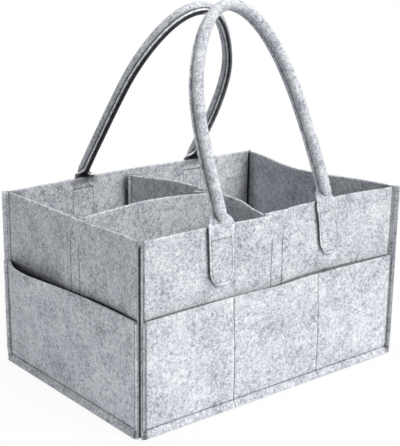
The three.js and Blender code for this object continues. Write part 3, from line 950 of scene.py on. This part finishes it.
print("on top of the arch a flap is closed by", closing(HANDLES["front"], np.array([200.0]), 1.0)[0])

# %% [markdown]
# ## The handles: sway
# A handle that has been carried doesn't stand true. Its tongues hang off to one side, its arch hangs
# sideways and is pulled narrower near the top, and the tube of the front one stands out of its tongue's
# plane. These could be sculpted on the finished mesh. Kept as functions, they move the cord and the
# stitches as well.


# %% Handle sway
def slant(handle, run):
    """How far the flat tongue hangs off to one side of its leg."""
    above = above_hinge(handle, run)
    legs = [at_rim + slope * np.maximum(-5 - above, 0) for at_rim, slope in handle.foot]
    return by_leg(handle, run, legs) * step(12, -5, above)


def sway(handle, x, up):
    """How far the arch hangs sideways."""
    share = np.clip(up / handle.height, 0, 1)
    if handle.side == "front":
        return step(0.55, 0.95, share) * (2.8 - 2.8 * x / handle.half_span)
    narrowing = -5.3 * x / handle.half_span * step(0.6, 0.95, share)
    return narrowing - 2 * step(0, 0.35, share) - 3.6 * np.sin(4.65 * share ** 1.5)


def tube_out(handle, up):
    """How far the tube stands out of the tongue's plane."""
    share = np.clip(up / handle.height, 0, 1)
    return 4.0 - 2.0 * step(0, 0.5, share) if handle.side == "front" else np.zeros_like(share)


for side, handle in HANDLES.items():
    print(f"{side} arch hangs sideways by {sway(handle, 0.0, handle.height):.1f} mm at its top")

# %% [markdown]
# ## The handles: the strip
# Now the strip is put together at each of its points. First its section is drawn, opened at the foot,
# turned about the cord so that the lip looks the right way, and drawn in at the rim and round the
# tongue's tip. Then the section is set across the arch, the arch is tilted by its lean, and the tongue is
# laid on the wall.


# %% Strip in place
def across_strip(handle, s, run, up):
    """Where the felt lies beside the strip's middle line, and how deep inside it."""
    closed = closing(handle, run, s)
    aside, deep = section(s, closed, by_flap(handle, run, s, handle.unrolled))
    half_closed = step(0, 0.3, closed) * step(1, 0.6, closed)
    aside = aside * (1 - (1 - by_flap(handle, run, s, handle.leaf)) * half_closed)
    both = (closing(handle, run, -1.0) + closing(handle, run, 1.0)) / 2
    twist = math.radians(handle.twist) * both * (1 - 2 * step(0.2, 0.8, run / handle.length))
    from_cord = deep - TUBE
    deep = aside * np.sin(twist) + from_cord * np.cos(twist) + TUBE - tube_out(handle, up) * both
    aside = aside * np.cos(twist) - from_cord * np.sin(twist)
    at_rim = by_flap(handle, run, s, handle.rim_share)
    on_wall = step(-4, -16, above_hinge(handle, run))
    drawn_in = 1 - at_rim - (by_leg(handle, run, handle.tongue_share) - at_rim) * on_wall
    narrow = tip_width(from_tip(handle, run))
    return aside * narrow * (1 - drawn_in * step(0.6, 0.1, both)), deep


def strip_where(handle, s, run):
    x, up = spine(handle, run)
    before, after = spine(handle, run - 0.4), spine(handle, run + 0.4)
    way_x, way_up = after[0] - before[0], after[1] - before[1]
    size = np.hypot(way_x, way_up)
    aside, deep = across_strip(handle, s, run, up)
    x = x + sway(handle, x, up) + slant(handle, run) + way_up / size * aside
    up = up - way_x / size * aside
    tilt = np.interp(up, handle.up, handle.tilt)
    inward = np.interp(up, handle.up, handle.tilted_in) + deep * np.cos(tilt)
    z = HINGE + np.interp(up, handle.up, handle.tilted_up) - deep * np.sin(tilt)
    on_wall = settled(handle.side, x + handle.shift, np.minimum(z, RIM)) * step(12, -4, up)
    y = -(handle.depth + HINGE_OUT + on_wall) + inward
    return turned(np.stack([x + handle.shift, y, z], -1), handle.turn)


for side, handle in HANDLES.items():
    top = strip_where(handle, np.zeros(1), np.array([handle.length / 2]))[0]
    print(f"{side} handle's top at", np.round(top).tolist(), "mm")

# %% [markdown]
# ## The handles: thickness and painted shade
# The felt is squeezed in the lip and pinched along its stitches. A flat tongue has a painted shadow round
# it, where its raw edge stands off the wall, and a painted highlight just inside. Painted shade darkens
# the crease beside a closed flap and the rows of stitches, painted highlights lighten the raw edges of the
# lip, and painted shade makes the hollow inside nearly black. The shadows could be left to the lamps, but
# the felt's loose fibres catch light that the mesh doesn't block, so they are painted into the colour.


# %% Strip thickness and painted shade
def strip_thickness(handle, s, run):
    closed, a, under = closing(handle, run, s), np.abs(s), under_row(handle, run)
    squeeze = closed * step(ROUND, NECK_END, a)
    row = 0.8 * bell(from_edge(handle, s, run) - TONGUE_SEAM, 0.8) * step(-4, 0, under)
    cross = 0.8 * bell(under, 0.8) * step(HALF_STRAP - 2, HALF_STRAP - 4, a)
    lip_row = 0.5 * bell(a - NECK_END - LIP_SEAM, 0.7) * closed
    return FELT - (FELT - LIP_FELT) * squeeze - row - cross - lip_row


def inside_painted_shade(handle, s, run, flat):
    # painted shadow round the tongue, painted shade in the hollow, and a painted shadow on one flap
    cut = -0.92 * flat * step(1.5, 0.6, from_edge(handle, s, run))
    hollow_shade = -0.9 + 0.45 * step(NECK_END, HALF_STRAP, np.abs(s))
    shadow = by_flap(handle, run, s, handle.shadow) * step(-5.5, -3.5, above_hinge(handle, run))
    return np.clip(np.minimum(hollow_shade * (1 - flat), cut) + shadow, -0.9, 0)


def outside_painted_shade(handle, s, run, closed, flat):
    a, edge, under = np.abs(s), from_edge(handle, s, run), under_row(handle, run)
    # painted shadow and highlight at the tongue's edge, painted shade in the crease and along the rows
    cut = flat * (0.3 * bell(edge - 1.8, 0.8) - 0.92 * step(1.0, 0.3, edge))
    unrolled = by_flap(handle, run, s, handle.unrolled)
    crease = ROUND * closed ** (1 - unrolled) + (NECK_END - ROUND) / 2
    wide = by_flap(handle, run, s, handle.crease)
    valley_shade = -0.9 * step(0.03, 0.4, closed ** (1 + 2 * unrolled)) * bell(a - crease, wide)
    # painted highlight on the lip, and a painted shadow on one flap
    lip = closed * 0.5 * step(NECK_END + 1, HALF_STRAP - 1, a)
    row = -0.2 * bell(edge - TONGUE_SEAM, 0.75) * step(-4, 0, under)
    cross = -0.3 * bell(under, 0.75) * step(HALF_STRAP - 2, HALF_STRAP - 4, a)
    shadow = by_flap(handle, run, s, handle.shadow) * bell(closed - 0.4, 0.35) * step(3, 8, a)
    return np.clip(cut + valley_shade + lip + row + cross + shadow, -0.9, 0.4)


def strip_painted_shade(handle, s, run, face):
    closed = closing(handle, run, s)
    flat = step(0.2, 0.02, closed)
    if face < 0:
        return inside_painted_shade(handle, s, run, flat)
    return outside_painted_shade(handle, s, run, closed, flat)


lip_felt = strip_thickness(HANDLES["front"], np.array([HALF_STRAP]), np.array([200.0]))[0]
print(f"the felt of a closed lip is {lip_felt:.2f} mm thick at its raw edge")

# %% [markdown]
# ## The handles: making them
# A handle swings over the rim, while its tongues stay on the wall. It could be cut in two at the hinge,
# but the felt there really bends. So the strip is made as one piece that rides on no body, with its place
# baked into its points.

# %% Handles
FINE_LEG = 18  # how far up a leg the rows are close together
ACROSS_PACE, LEG_PACE, ARCH_ROWS = 1.1, 0.9, 150
for side, handle in HANDLES.items():
    handle.form = SimpleNamespace(
        where=partial(strip_where, handle),
        thick=partial(strip_thickness, handle),
        shade=partial(strip_painted_shade, handle))
    s = places(STRAP, ACROSS_PACE, [TONGUE_SEAM, STRAP - TONGUE_SEAM]) - HALF_STRAP
    (first, second), (first_row, second_row) = handle.tongue, handle.sewn_row
    run = np.unique(np.round(np.concatenate([
        places(first + FINE_LEG, LEG_PACE, [first - first_row]) - first,
        np.linspace(FINE_LEG, handle.length - FINE_LEG, ARCH_ROWS),
        places(second + FINE_LEG, LEG_PACE, [FINE_LEG + second_row]) + handle.length - FINE_LEG,
    ]), 3))
    nodes = [f"{side}_handle_{part}" for part in ("strap", "left_tab", "right_tab")]
    strap = felt_sheet(f"{side}_handle_felt", handle.form, s, run, None, nodes)
    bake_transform(strap)

# %% [markdown]
# ## The cord inside
# The cord keeps the tube round. It can hardly be seen, so a plain bevelled curve would do, but a laid
# cord is no harder: its outline is a circle with three soft bulges that turn slowly along it. Its path is
# taken from the strip's own middle line, so that it stays inside the tube wherever the handle sways.

# %% Cord
CORD_START = 14  # how far above the hinge the cord starts
CORD_ROWS, CORD_CORNERS = 260, 18
CORD_TWIST = 0.5  # turn of the strands, in radians for each millimetre


def cord_piece(side):
    handle = HANDLES[side]
    where = handle.form.where
    run = np.linspace(CORD_START, handle.length - CORD_START, CORD_ROWS)
    zero = np.zeros_like(run)
    middle = where(zero, run)
    ahead = where(zero, run + 0.5) - where(zero, run - 0.5)
    ahead /= np.linalg.norm(ahead, axis=1, keepdims=True)
    inward = facing(where, zero, run)
    lip = where(np.full_like(run, HALF_STRAP), run) - middle
    inward *= np.sign((inward * lip).sum(1))[:, None]
    across = np.cross(ahead, inward)
    around = np.linspace(0, 2 * np.pi, CORD_CORNERS + 1)[:-1]
    twist = around[None] + run[:, None] * CORD_TWIST
    radius = CORD / 2 * (0.88 + 0.12 * np.abs(np.cos(1.5 * twist)))
    sideways = np.cos(around)[None, :, None] * across[:, None]
    outline = sideways + np.sin(around)[None, :, None] * inward[:, None]
    points = (middle + inward * TUBE)[:, None] + radius[..., None] * outline
    index = np.arange(len(run) * CORD_CORNERS).reshape(len(run), CORD_CORNERS)
    beside = np.roll(index, -1, 1)
    quads = np.stack([index[:-1], beside[:-1], beside[1:], index[1:]], -1)
    faces = quads.reshape(-1, 4).tolist() + [index[0, ::-1].tolist(), index[-1].tolist()]
    return new_piece(f"{side}_handle_cord", points.reshape(-1, 3), faces, cotton, f"{side}_handle",
                     [f"{side}_handle_core"])


for side in HANDLES:
    print(cord_piece(side).name, "laid")

# %% [markdown]
# ## The divider: lines in plan
# The divider is a T of two standing panels. The cross panel runs from front to back and is pushed out of
# line by the long one, whose end is turned and sewn along it. Seen from above each panel is a line, so
# the lines are drawn first: smooth through a few points, with a small fold at each sewn end. Blender's
# own curves could draw them, but points in a list are easier to measure and to offset.

# %% Divider lines
FLANGE_Y = -(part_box("front_divider_flange")[0].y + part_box("front_divider_flange")[1].y) / 2 * MM
FLANGE_X = -(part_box("left_divider_flange")[0].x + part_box("left_divider_flange")[1].x) / 2 * MM
END_Y, END_X = FLANGE_Y - FELT - GAP, FLANGE_X - FELT - GAP
CROSS_FRONT, CROSS_BACK, LONG_LEFT = -9.0, -17.8, -7.0
KNEE, PUSH = (4.5, -66.0), (11.0, -20.0)
LONG_BEND, LONG_BOW = (-118.0, -0.3), (-60.0, 5.3)
JOIN_PLACE, JOIN_FLANGE = 0.42, 34.0
SEAM_LIP, FOLD = 4.0, 2.0


def smooth_line(points, count):
    """A smooth line through points, as drawn for the solid."""
    points = np.array([points[0], *points, points[-1]], float)
    t = np.linspace(0, 1, count)[:, None]
    found = []
    for k in range(len(points) - 3):
        p0, p1, p2, p3 = points[k:k + 4]
        v0, v1 = (p2 - p0) / 2, (p3 - p1) / 2
        cubic = (2 * p1 - 2 * p2 + v0 + v1) * t ** 3
        found.append(cubic + (-3 * p1 + 3 * p2 - 2 * v0 - v1) * t ** 2 + v0 * t + p1)
    return np.concatenate(found)


def folded(a, corner, b, count=9):
    """A round fold from a to b about a corner."""
    t = np.linspace(0, 1, count)[:, None]
    a, corner, b = (np.array(p, float) for p in (a, corner, b))
    return (1 - t) ** 2 * a + 2 * t * (1 - t) * corner + t ** 2 * b


bow = smooth_line([(CROSS_FRONT, FOLD - END_Y), KNEE, PUSH, (CROSS_BACK, END_Y - FOLD)], 60)
bow_run = distances(bow)
cross_line = np.concatenate([
    [(CROSS_FRONT - SEAM_LIP, -END_Y)],
    folded((CROSS_FRONT - FOLD, -END_Y), (CROSS_FRONT, -END_Y), (CROSS_FRONT, FOLD - END_Y)),
    bow,
    folded((CROSS_BACK, END_Y - FOLD), (CROSS_BACK, END_Y), (CROSS_BACK - FOLD, END_Y)),
    [(CROSS_BACK - SEAM_LIP, END_Y)],
])
print(f"the cross panel bows over {bow_run[-1]:.0f} mm")

# %% [markdown]
# ## The divider: where the panels meet
# The long panel's end lies flat along the cross panel. Its line could be guessed, but then the two would
# cut into each other. So the line of its sewn-on end is the cross panel's own line, moved aside by a
# felt's thickness.


# %% Line of the long panel
def at_place(place, paces, values):
    """The point of a line, or the way that its felt faces, at a distance along it."""
    return np.array([np.interp(place, paces, column) for column in values.T])


def beside_cross(run):
    """A place beside the cross panel's bow, one felt and two gaps away."""
    at = at_place(run, bow_run, bow)
    ahead = at_place(run + 1, bow_run, bow) - at
    ahead /= np.linalg.norm(ahead)
    return at + np.array([-ahead[1], ahead[0]]) * (FELT + 2 * GAP)


join = beside_cross(JOIN_PLACE * bow_run[-1])
join_end = beside_cross(JOIN_PLACE * bow_run[-1] + JOIN_FLANGE)
left_fold = np.array([-END_X, LONG_LEFT])
to_left = (np.array(LONG_BOW) - join) / np.linalg.norm(np.array(LONG_BOW) - join)
to_back = (join_end - join) / np.linalg.norm(join_end - join)
long_line = np.concatenate([
    [left_fold + (0, SEAM_LIP)],
    folded(left_fold + (0, FOLD), left_fold, left_fold + (FOLD, 0)),
    smooth_line([left_fold + (FOLD, 0), LONG_BEND, LONG_BOW, join + to_left * FOLD], 40),
    folded(join + to_left * FOLD, join, join + to_back * FOLD),
    [join_end],
])
print("the panels meet at", np.round(join, 1).tolist(), "mm")

# %% [markdown]
# ## The divider: panels
# A panel stands on its line. Extruding the line would give it a level top, but felt that stands by itself
# swells and sags a little, so its top edge rises and falls in soft bells. The long panel's top also drops
# along its sewn-on end. Each free end is sewn to a flange, and the row of stitches there pinches the
# felt.

# %% Divider panels
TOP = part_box("cross_divider")[1].z * MM
END_SEAM = SEAM_LIP + 0.8  # how far from its end a panel is sewn to the flange


def standing(line, sewn_ends, swells, drop):
    """A panel that stands on a line in plan. Its top swells, and drops along its last, sewn-on stretch."""
    line = line[np.concatenate([[True], np.linalg.norm(np.diff(line, axis=0), axis=1) > 1e-6])]
    paces = distances(line)
    length = paces[-1]
    first = (line[1] - line[0]) / np.linalg.norm(line[1] - line[0])
    last = (line[-1] - line[-2]) / np.linalg.norm(line[-1] - line[-2])
    line = np.concatenate([[line[0] - first], line, [line[-1] + last]])
    paces = np.concatenate([[-1.0], paces, [length + 1.0]])
    ends = [END_SEAM, length - END_SEAM][:sewn_ends]

    def where(s, t):
        x = np.interp(s, paces, line[:, 0])
        y = np.interp(s, paces, line[:, 1])
        sewn_on = np.clip((s - length + JOIN_FLANGE) / JOIN_FLANGE, 0, 1)
        rise = sum(size * bell(s - place, width) for place, size, width in swells) - drop * sewn_on
        return np.stack([x, y, FOOT + t + rise * step(0.4, 1, t / (TOP - FOOT))], -1)

    def thick(s, t):
        return FELT - 0.8 * sum(bell(s - end, 0.8) for end in ends)

    def shade(s, t, face):
        # painted shade along the rows at the sewn ends
        return -0.5 * sum(bell(s - end, 0.8) for end in ends)

    return SimpleNamespace(where=where, thick=thick, shade=shade, length=length, ends=ends)


DIVIDERS = {  # the swells have a place along the panel, a size and a width
    "cross_divider": standing(cross_line, 2, [(34, -2.0, 18), (66, -1.2, 24), (156, 3.6, 40)], 0.0),
    "long_divider": standing(long_line, 1, [(145, 1.9, 45)], 2.6),
}
for name, form in DIVIDERS.items():
    s = places(form.length, 4, form.ends)
    t = places(TOP - FOOT, 6)
    piece = felt_sheet(f"{name}_felt", form, s, t, "divider", [name])
    print(piece.name, f"cut {form.length:.0f} x {TOP - FOOT:.0f} mm")

# %% [markdown]
# ## Flanges and tapes
# Each free end of the divider carries a flat felt flange with a hook tape, which holds on the loop tape
# that is sewn to the wall. They are plain strips, so the solids could stay. As sheets they get rounded
# edges, a painted shadow in the slit behind the seam lip, painted shade on the flanges' top edges, and the
# nubs of a woven tape.

# %% Forms of flanges and tapes
FRONT_RISE = 2.5  # how much higher than the others the front flange stands


def strip_form(node):
    """A flat strip in the place of an upright CAD strip, its long side up."""
    low, high = (np.array(v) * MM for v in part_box(node))
    middle = (low + high) / 2
    along = 0 if high[0] - low[0] > high[1] - low[1] else 1

    def where(s, t):
        points = [np.full_like(s, middle[0]), np.full_like(s, middle[1]), low[2] + t]
        points[along] = low[along] + s
        return np.stack(points, -1)

    size = high - low
    return SimpleNamespace(where=where, width=size[along], height=size[2], depth=size[1 - along])


def flange_form(side):
    form = strip_form(f"{side}_divider_flange")
    form.height += FRONT_RISE if side == "front" else 0.0
    # painted shadow in the slit behind the lip, and painted shade along the top edge
    top_painted_shade, slit_painted_shadow = (0.0, -0.2) if side == "front" else (-0.4, -0.97)

    def shade(s, t, face):
        behind_lip = form.width - s if side == "left" else s
        return np.minimum(slit_painted_shadow * step(4.5, 3.0, behind_lip), top_painted_shade * step(4, 1, form.height - t))

    form.thick = lambda s, t: np.full_like(s, form.depth)
    form.shade = shade
    return form


def tape_form(node):
    form = strip_form(node)
    form.thick = lambda s, t: form.depth * (0.86 + 0.14 * np.cos(s * 2.1) * np.cos(t * 2.1))
    # painted shadow of the slit at both ends of the tape
    form.shade = lambda s, t, face: -0.9 * step(5.0, 3.5, np.minimum(s, form.width - s))
    return form


print("a tape is", round(tape_form("front_loop_tape").width, 1), "mm wide")

# %% [markdown]
# ## Making the flanges and tapes
# The flanges and the hook tapes ride on the divider, and the loop tapes stay on the box, so the fastening
# opens when the divider is lifted. One mesh for a pair of tapes would be simpler, but it couldn't come
# apart.

# %% Flanges and tapes
for side in ("front", "back", "left"):
    form = flange_form(side)
    s, t = places(form.width, 4), places(form.height, 8)
    piece = felt_sheet(f"{side}_flange_felt", form, s, t, "divider", [f"{side}_divider_flange"])
    for kind, body in (("loop", "caddy"), ("hook", "divider")):
        node = f"{side}_{kind}_tape"
        form = tape_form(node)
        s, t = places(form.width, 2), places(form.height, 4)
        strip = felt_sheet(f"{node}_woven", form, s, t, body, [node], tape, rim=0.5)
print("three flanges and six tapes stand where the solids do")

# %% [markdown]
# ## A stitch
# A machine stitch is a short length of thread that lies in a dent and dives through the felt at both
# ends. It could be painted on, but a real thread catches the light. So a stitch is a thin spindle of five
# rings with six corners each.

# %% A stitch
THREAD = 0.45  # half the thickness of the thread
RINGS = (  # place along the half stitch, and size
    (-1.0, 0.15), (-0.72, 0.8), (0.0, 1.0), (0.72, 0.8), (1.0, 0.15))
CORNERS = 6
AROUND = np.linspace(0, 2 * np.pi, CORNERS + 1)[:-1]


def stitch_points(start, end, up):
    middle, half = (start + end) / 2, (end - start) / 2
    across = np.cross(half, up)
    across /= np.linalg.norm(across)
    up = np.cross(across, half) / np.linalg.norm(half)
    points = []
    for place, size in RINGS:
        centre = middle + half * place + up * (size - 0.75) * THREAD
        points += [centre + THREAD * size * (math.cos(a) * across + math.sin(a) * up) for a in AROUND]
    return points


def stitch_faces(first):
    """Faces of a stitch whose points start at a number: rings of quads, and a cap at each end."""
    faces = []
    for ring in range(len(RINGS) - 1):
        at = first + CORNERS * ring
        for a in range(CORNERS):
            b = (a + 1) % CORNERS
            faces.append((at + a, at + b, at + CORNERS + b, at + CORNERS + a))
    last = first + CORNERS * (len(RINGS) - 1)
    caps = [tuple(first + a for a in reversed(range(CORNERS))), tuple(last + a for a in range(CORNERS))]
    return faces + caps


print("one stitch has", len(stitch_faces(0)), "faces")

# %% [markdown]
# ## A seam
# A seam is a row of stitches at an even pitch. An array along a curve could repeat one stitch, but then
# each would have to be turned to its felt. Here a line on a sheet is looked up, with the way that the
# sheet faces there, and all the stitches of a seam go into one mesh.

# %% Seams
SINK = 0.15  # how deep the thread lies in the felt
PITCH = 3.4  # from one stitch to the next
STITCH_SHARE = 0.76  # how much of the pitch a stitch takes up


def seam(name, runs, body, pitch=PITCH, yarn=thread):
    """Stitches along lines of points, each line with the way that its felt faces. Gives their number."""
    points, faces = [], []
    for line, normal in runs:
        paces = distances(line)
        for start in np.arange(0.4, paces[-1] - 0.7 * pitch, pitch):
            faces += stitch_faces(len(points))
            first = at_place(start, paces, line)
            last = at_place(start + STITCH_SHARE * pitch, paces, line)
            points += stitch_points(first, last, at_place(start + pitch / 2, paces, normal))
    new_piece(name, np.array(points), faces, yarn, body, [])
    return len(points) // (CORNERS * len(RINGS))


def on_face(form, s, t, face=1):
    """A line of points just under a face of a sheet, and the way that the face looks."""
    s, t = np.broadcast_arrays(np.asarray(s, float), np.asarray(t, float))
    normal = facing(form.where, s, t) * face
    return form.where(s, t) + normal * (form.thick(s, t) / 2 - SINK)[..., None], normal


foot_line, _ = on_face(panels["front", "pocket"], np.linspace(-100, 100, 50), BAND)
print(f"200 mm of the front's foot take {distances(foot_line)[-1] / PITCH:.0f} stitches")

# %% [markdown]
# ## Seams of the box
# Each side is sewn up both corner lips, along the base, between its pockets and along the loop tape. The
# lines could be drawn in space, but then every change to a panel would leave its seam hanging. They are
# drawn on the flat cut instead, so they follow the felt wherever it goes.

# %% Box seams
POCKET_LIP_ROW, WALL_LIP_ROW = 2.0, 3.4  # how far outside the corner the lips are sewn
stitches = 0
for side in SIDES:
    wall_form, pocket_form = panels[side, "wall"], panels[side, "pocket"]
    runs = []
    for end in (-1, 1):
        low = np.linspace(BAND + 3, pocket_form.height - 1, 60)
        runs.append(on_face(pocket_form, end * (pocket_form.corner + POCKET_LIP_ROW), low))
        high = np.linspace(MOUTH - FOOT + 1.5, wall_form.height - 1.5, 40)
        runs.append(on_face(wall_form, end * (wall_form.corner + WALL_LIP_ROW), high))
    reach = pocket_form.reach
    runs.append(on_face(pocket_form, np.linspace(4 - reach, reach - 4, 90), BAND))
    for x in POCKET_SEAMS[side]:
        runs.append(on_face(pocket_form, x, np.linspace(BAND + 2, pocket_form.height - 1, 60)))
    for x in tape_rows(side):
        runs.append(on_face(wall_form, x, np.linspace(MOUTH - FOOT + 1, TAPE_SEAM_TOP - FOOT, 40)))
    stitches += seam(f"{side}_seams", runs, "caddy")
print(stitches, "stitches in the box")

# %% [markdown]
# ## Seams of the handles
# A tongue is sewn round its tip in a U and across its top, right through the wall, so the same stitches
# show on the inside of the box. The thread on the tongues is paler. Along the tube, a row on each side
# closes the lip. The tongues' seams ride on the box and the lip's on the handle, so nothing is torn when
# the handle swings.

# %% Handle seams
HANDLE_PITCH = 3.0
LIP_SEAM_START = 13  # how far above the hinge the lip's seam starts
THROUGH_WALL = FELT + GAP + 0.2  # from the back of a tongue to the inside of the wall
u_radius = HALF_STRAP - TONGUE_SEAM
u_turn = np.linspace(0, np.pi, 40)
u_s = np.concatenate([np.full(40, -u_radius), -u_radius * np.cos(u_turn), np.full(40, u_radius)])
cross_s = np.linspace(-u_radius, u_radius, 20)
stitches = 0
for side, handle in HANDLES.items():
    tongue_runs = []
    for leg, (tongue, row) in enumerate(zip(handle.tongue, handle.sewn_row)):
        tip = HALF_STRAP - tongue
        down, up_again = np.linspace(-row, tip, 40), np.linspace(tip, -row, 40)
        u_run = np.concatenate([down, tip - u_radius * np.sin(u_turn), up_again])
        for flat_s, flat_run in ((u_s, u_run), (cross_s, np.full(20, -row))):
            s = flat_s / tip_width(flat_run + tongue)
            run = handle.length - flat_run if leg else flat_run
            tongue_runs.append(on_face(handle.form, s, run))
            line, normal = on_face(handle.form, s, run, -1)
            tongue_runs.append((line + normal * THROUGH_WALL, normal))
    run = np.linspace(LIP_SEAM_START, handle.length - LIP_SEAM_START, 260)
    lip_runs = [on_face(handle.form, edge * (NECK_END + LIP_SEAM), run) for edge in (-1, 1)]
    stitches += seam(f"{side}_handle_tongue_seams", tongue_runs, "caddy", HANDLE_PITCH, pale_thread)
    stitches += seam(f"{side}_handle_lip_seams", lip_runs, f"{side}_handle", HANDLE_PITCH)
print(stitches, "stitches in the handles")

# %% [markdown]
# ## Seams of the divider
# The divider's panels are sewn to their flanges with one row at each free end. The row shows on both
# faces, so it is drawn twice. A single row through the middle would be simpler, but it would be hidden in
# the felt.

# %% Divider seams
runs = []
for form in DIVIDERS.values():
    for end in form.ends:
        for face in (-1, 1):
            runs.append(on_face(form, end, np.linspace(2, TOP - FOOT - 2, 60), face))
print(seam("divider_seams", runs, "divider"), "stitches in the divider")

# %% [markdown]
# The dressed model keeps to the solid model's box, apart from the little that felt stands proud. Its box
# is printed.

# %% Finish
low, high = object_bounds()
print("dressed box in metres:", [round(v, 4) for v in (*low, *high)])
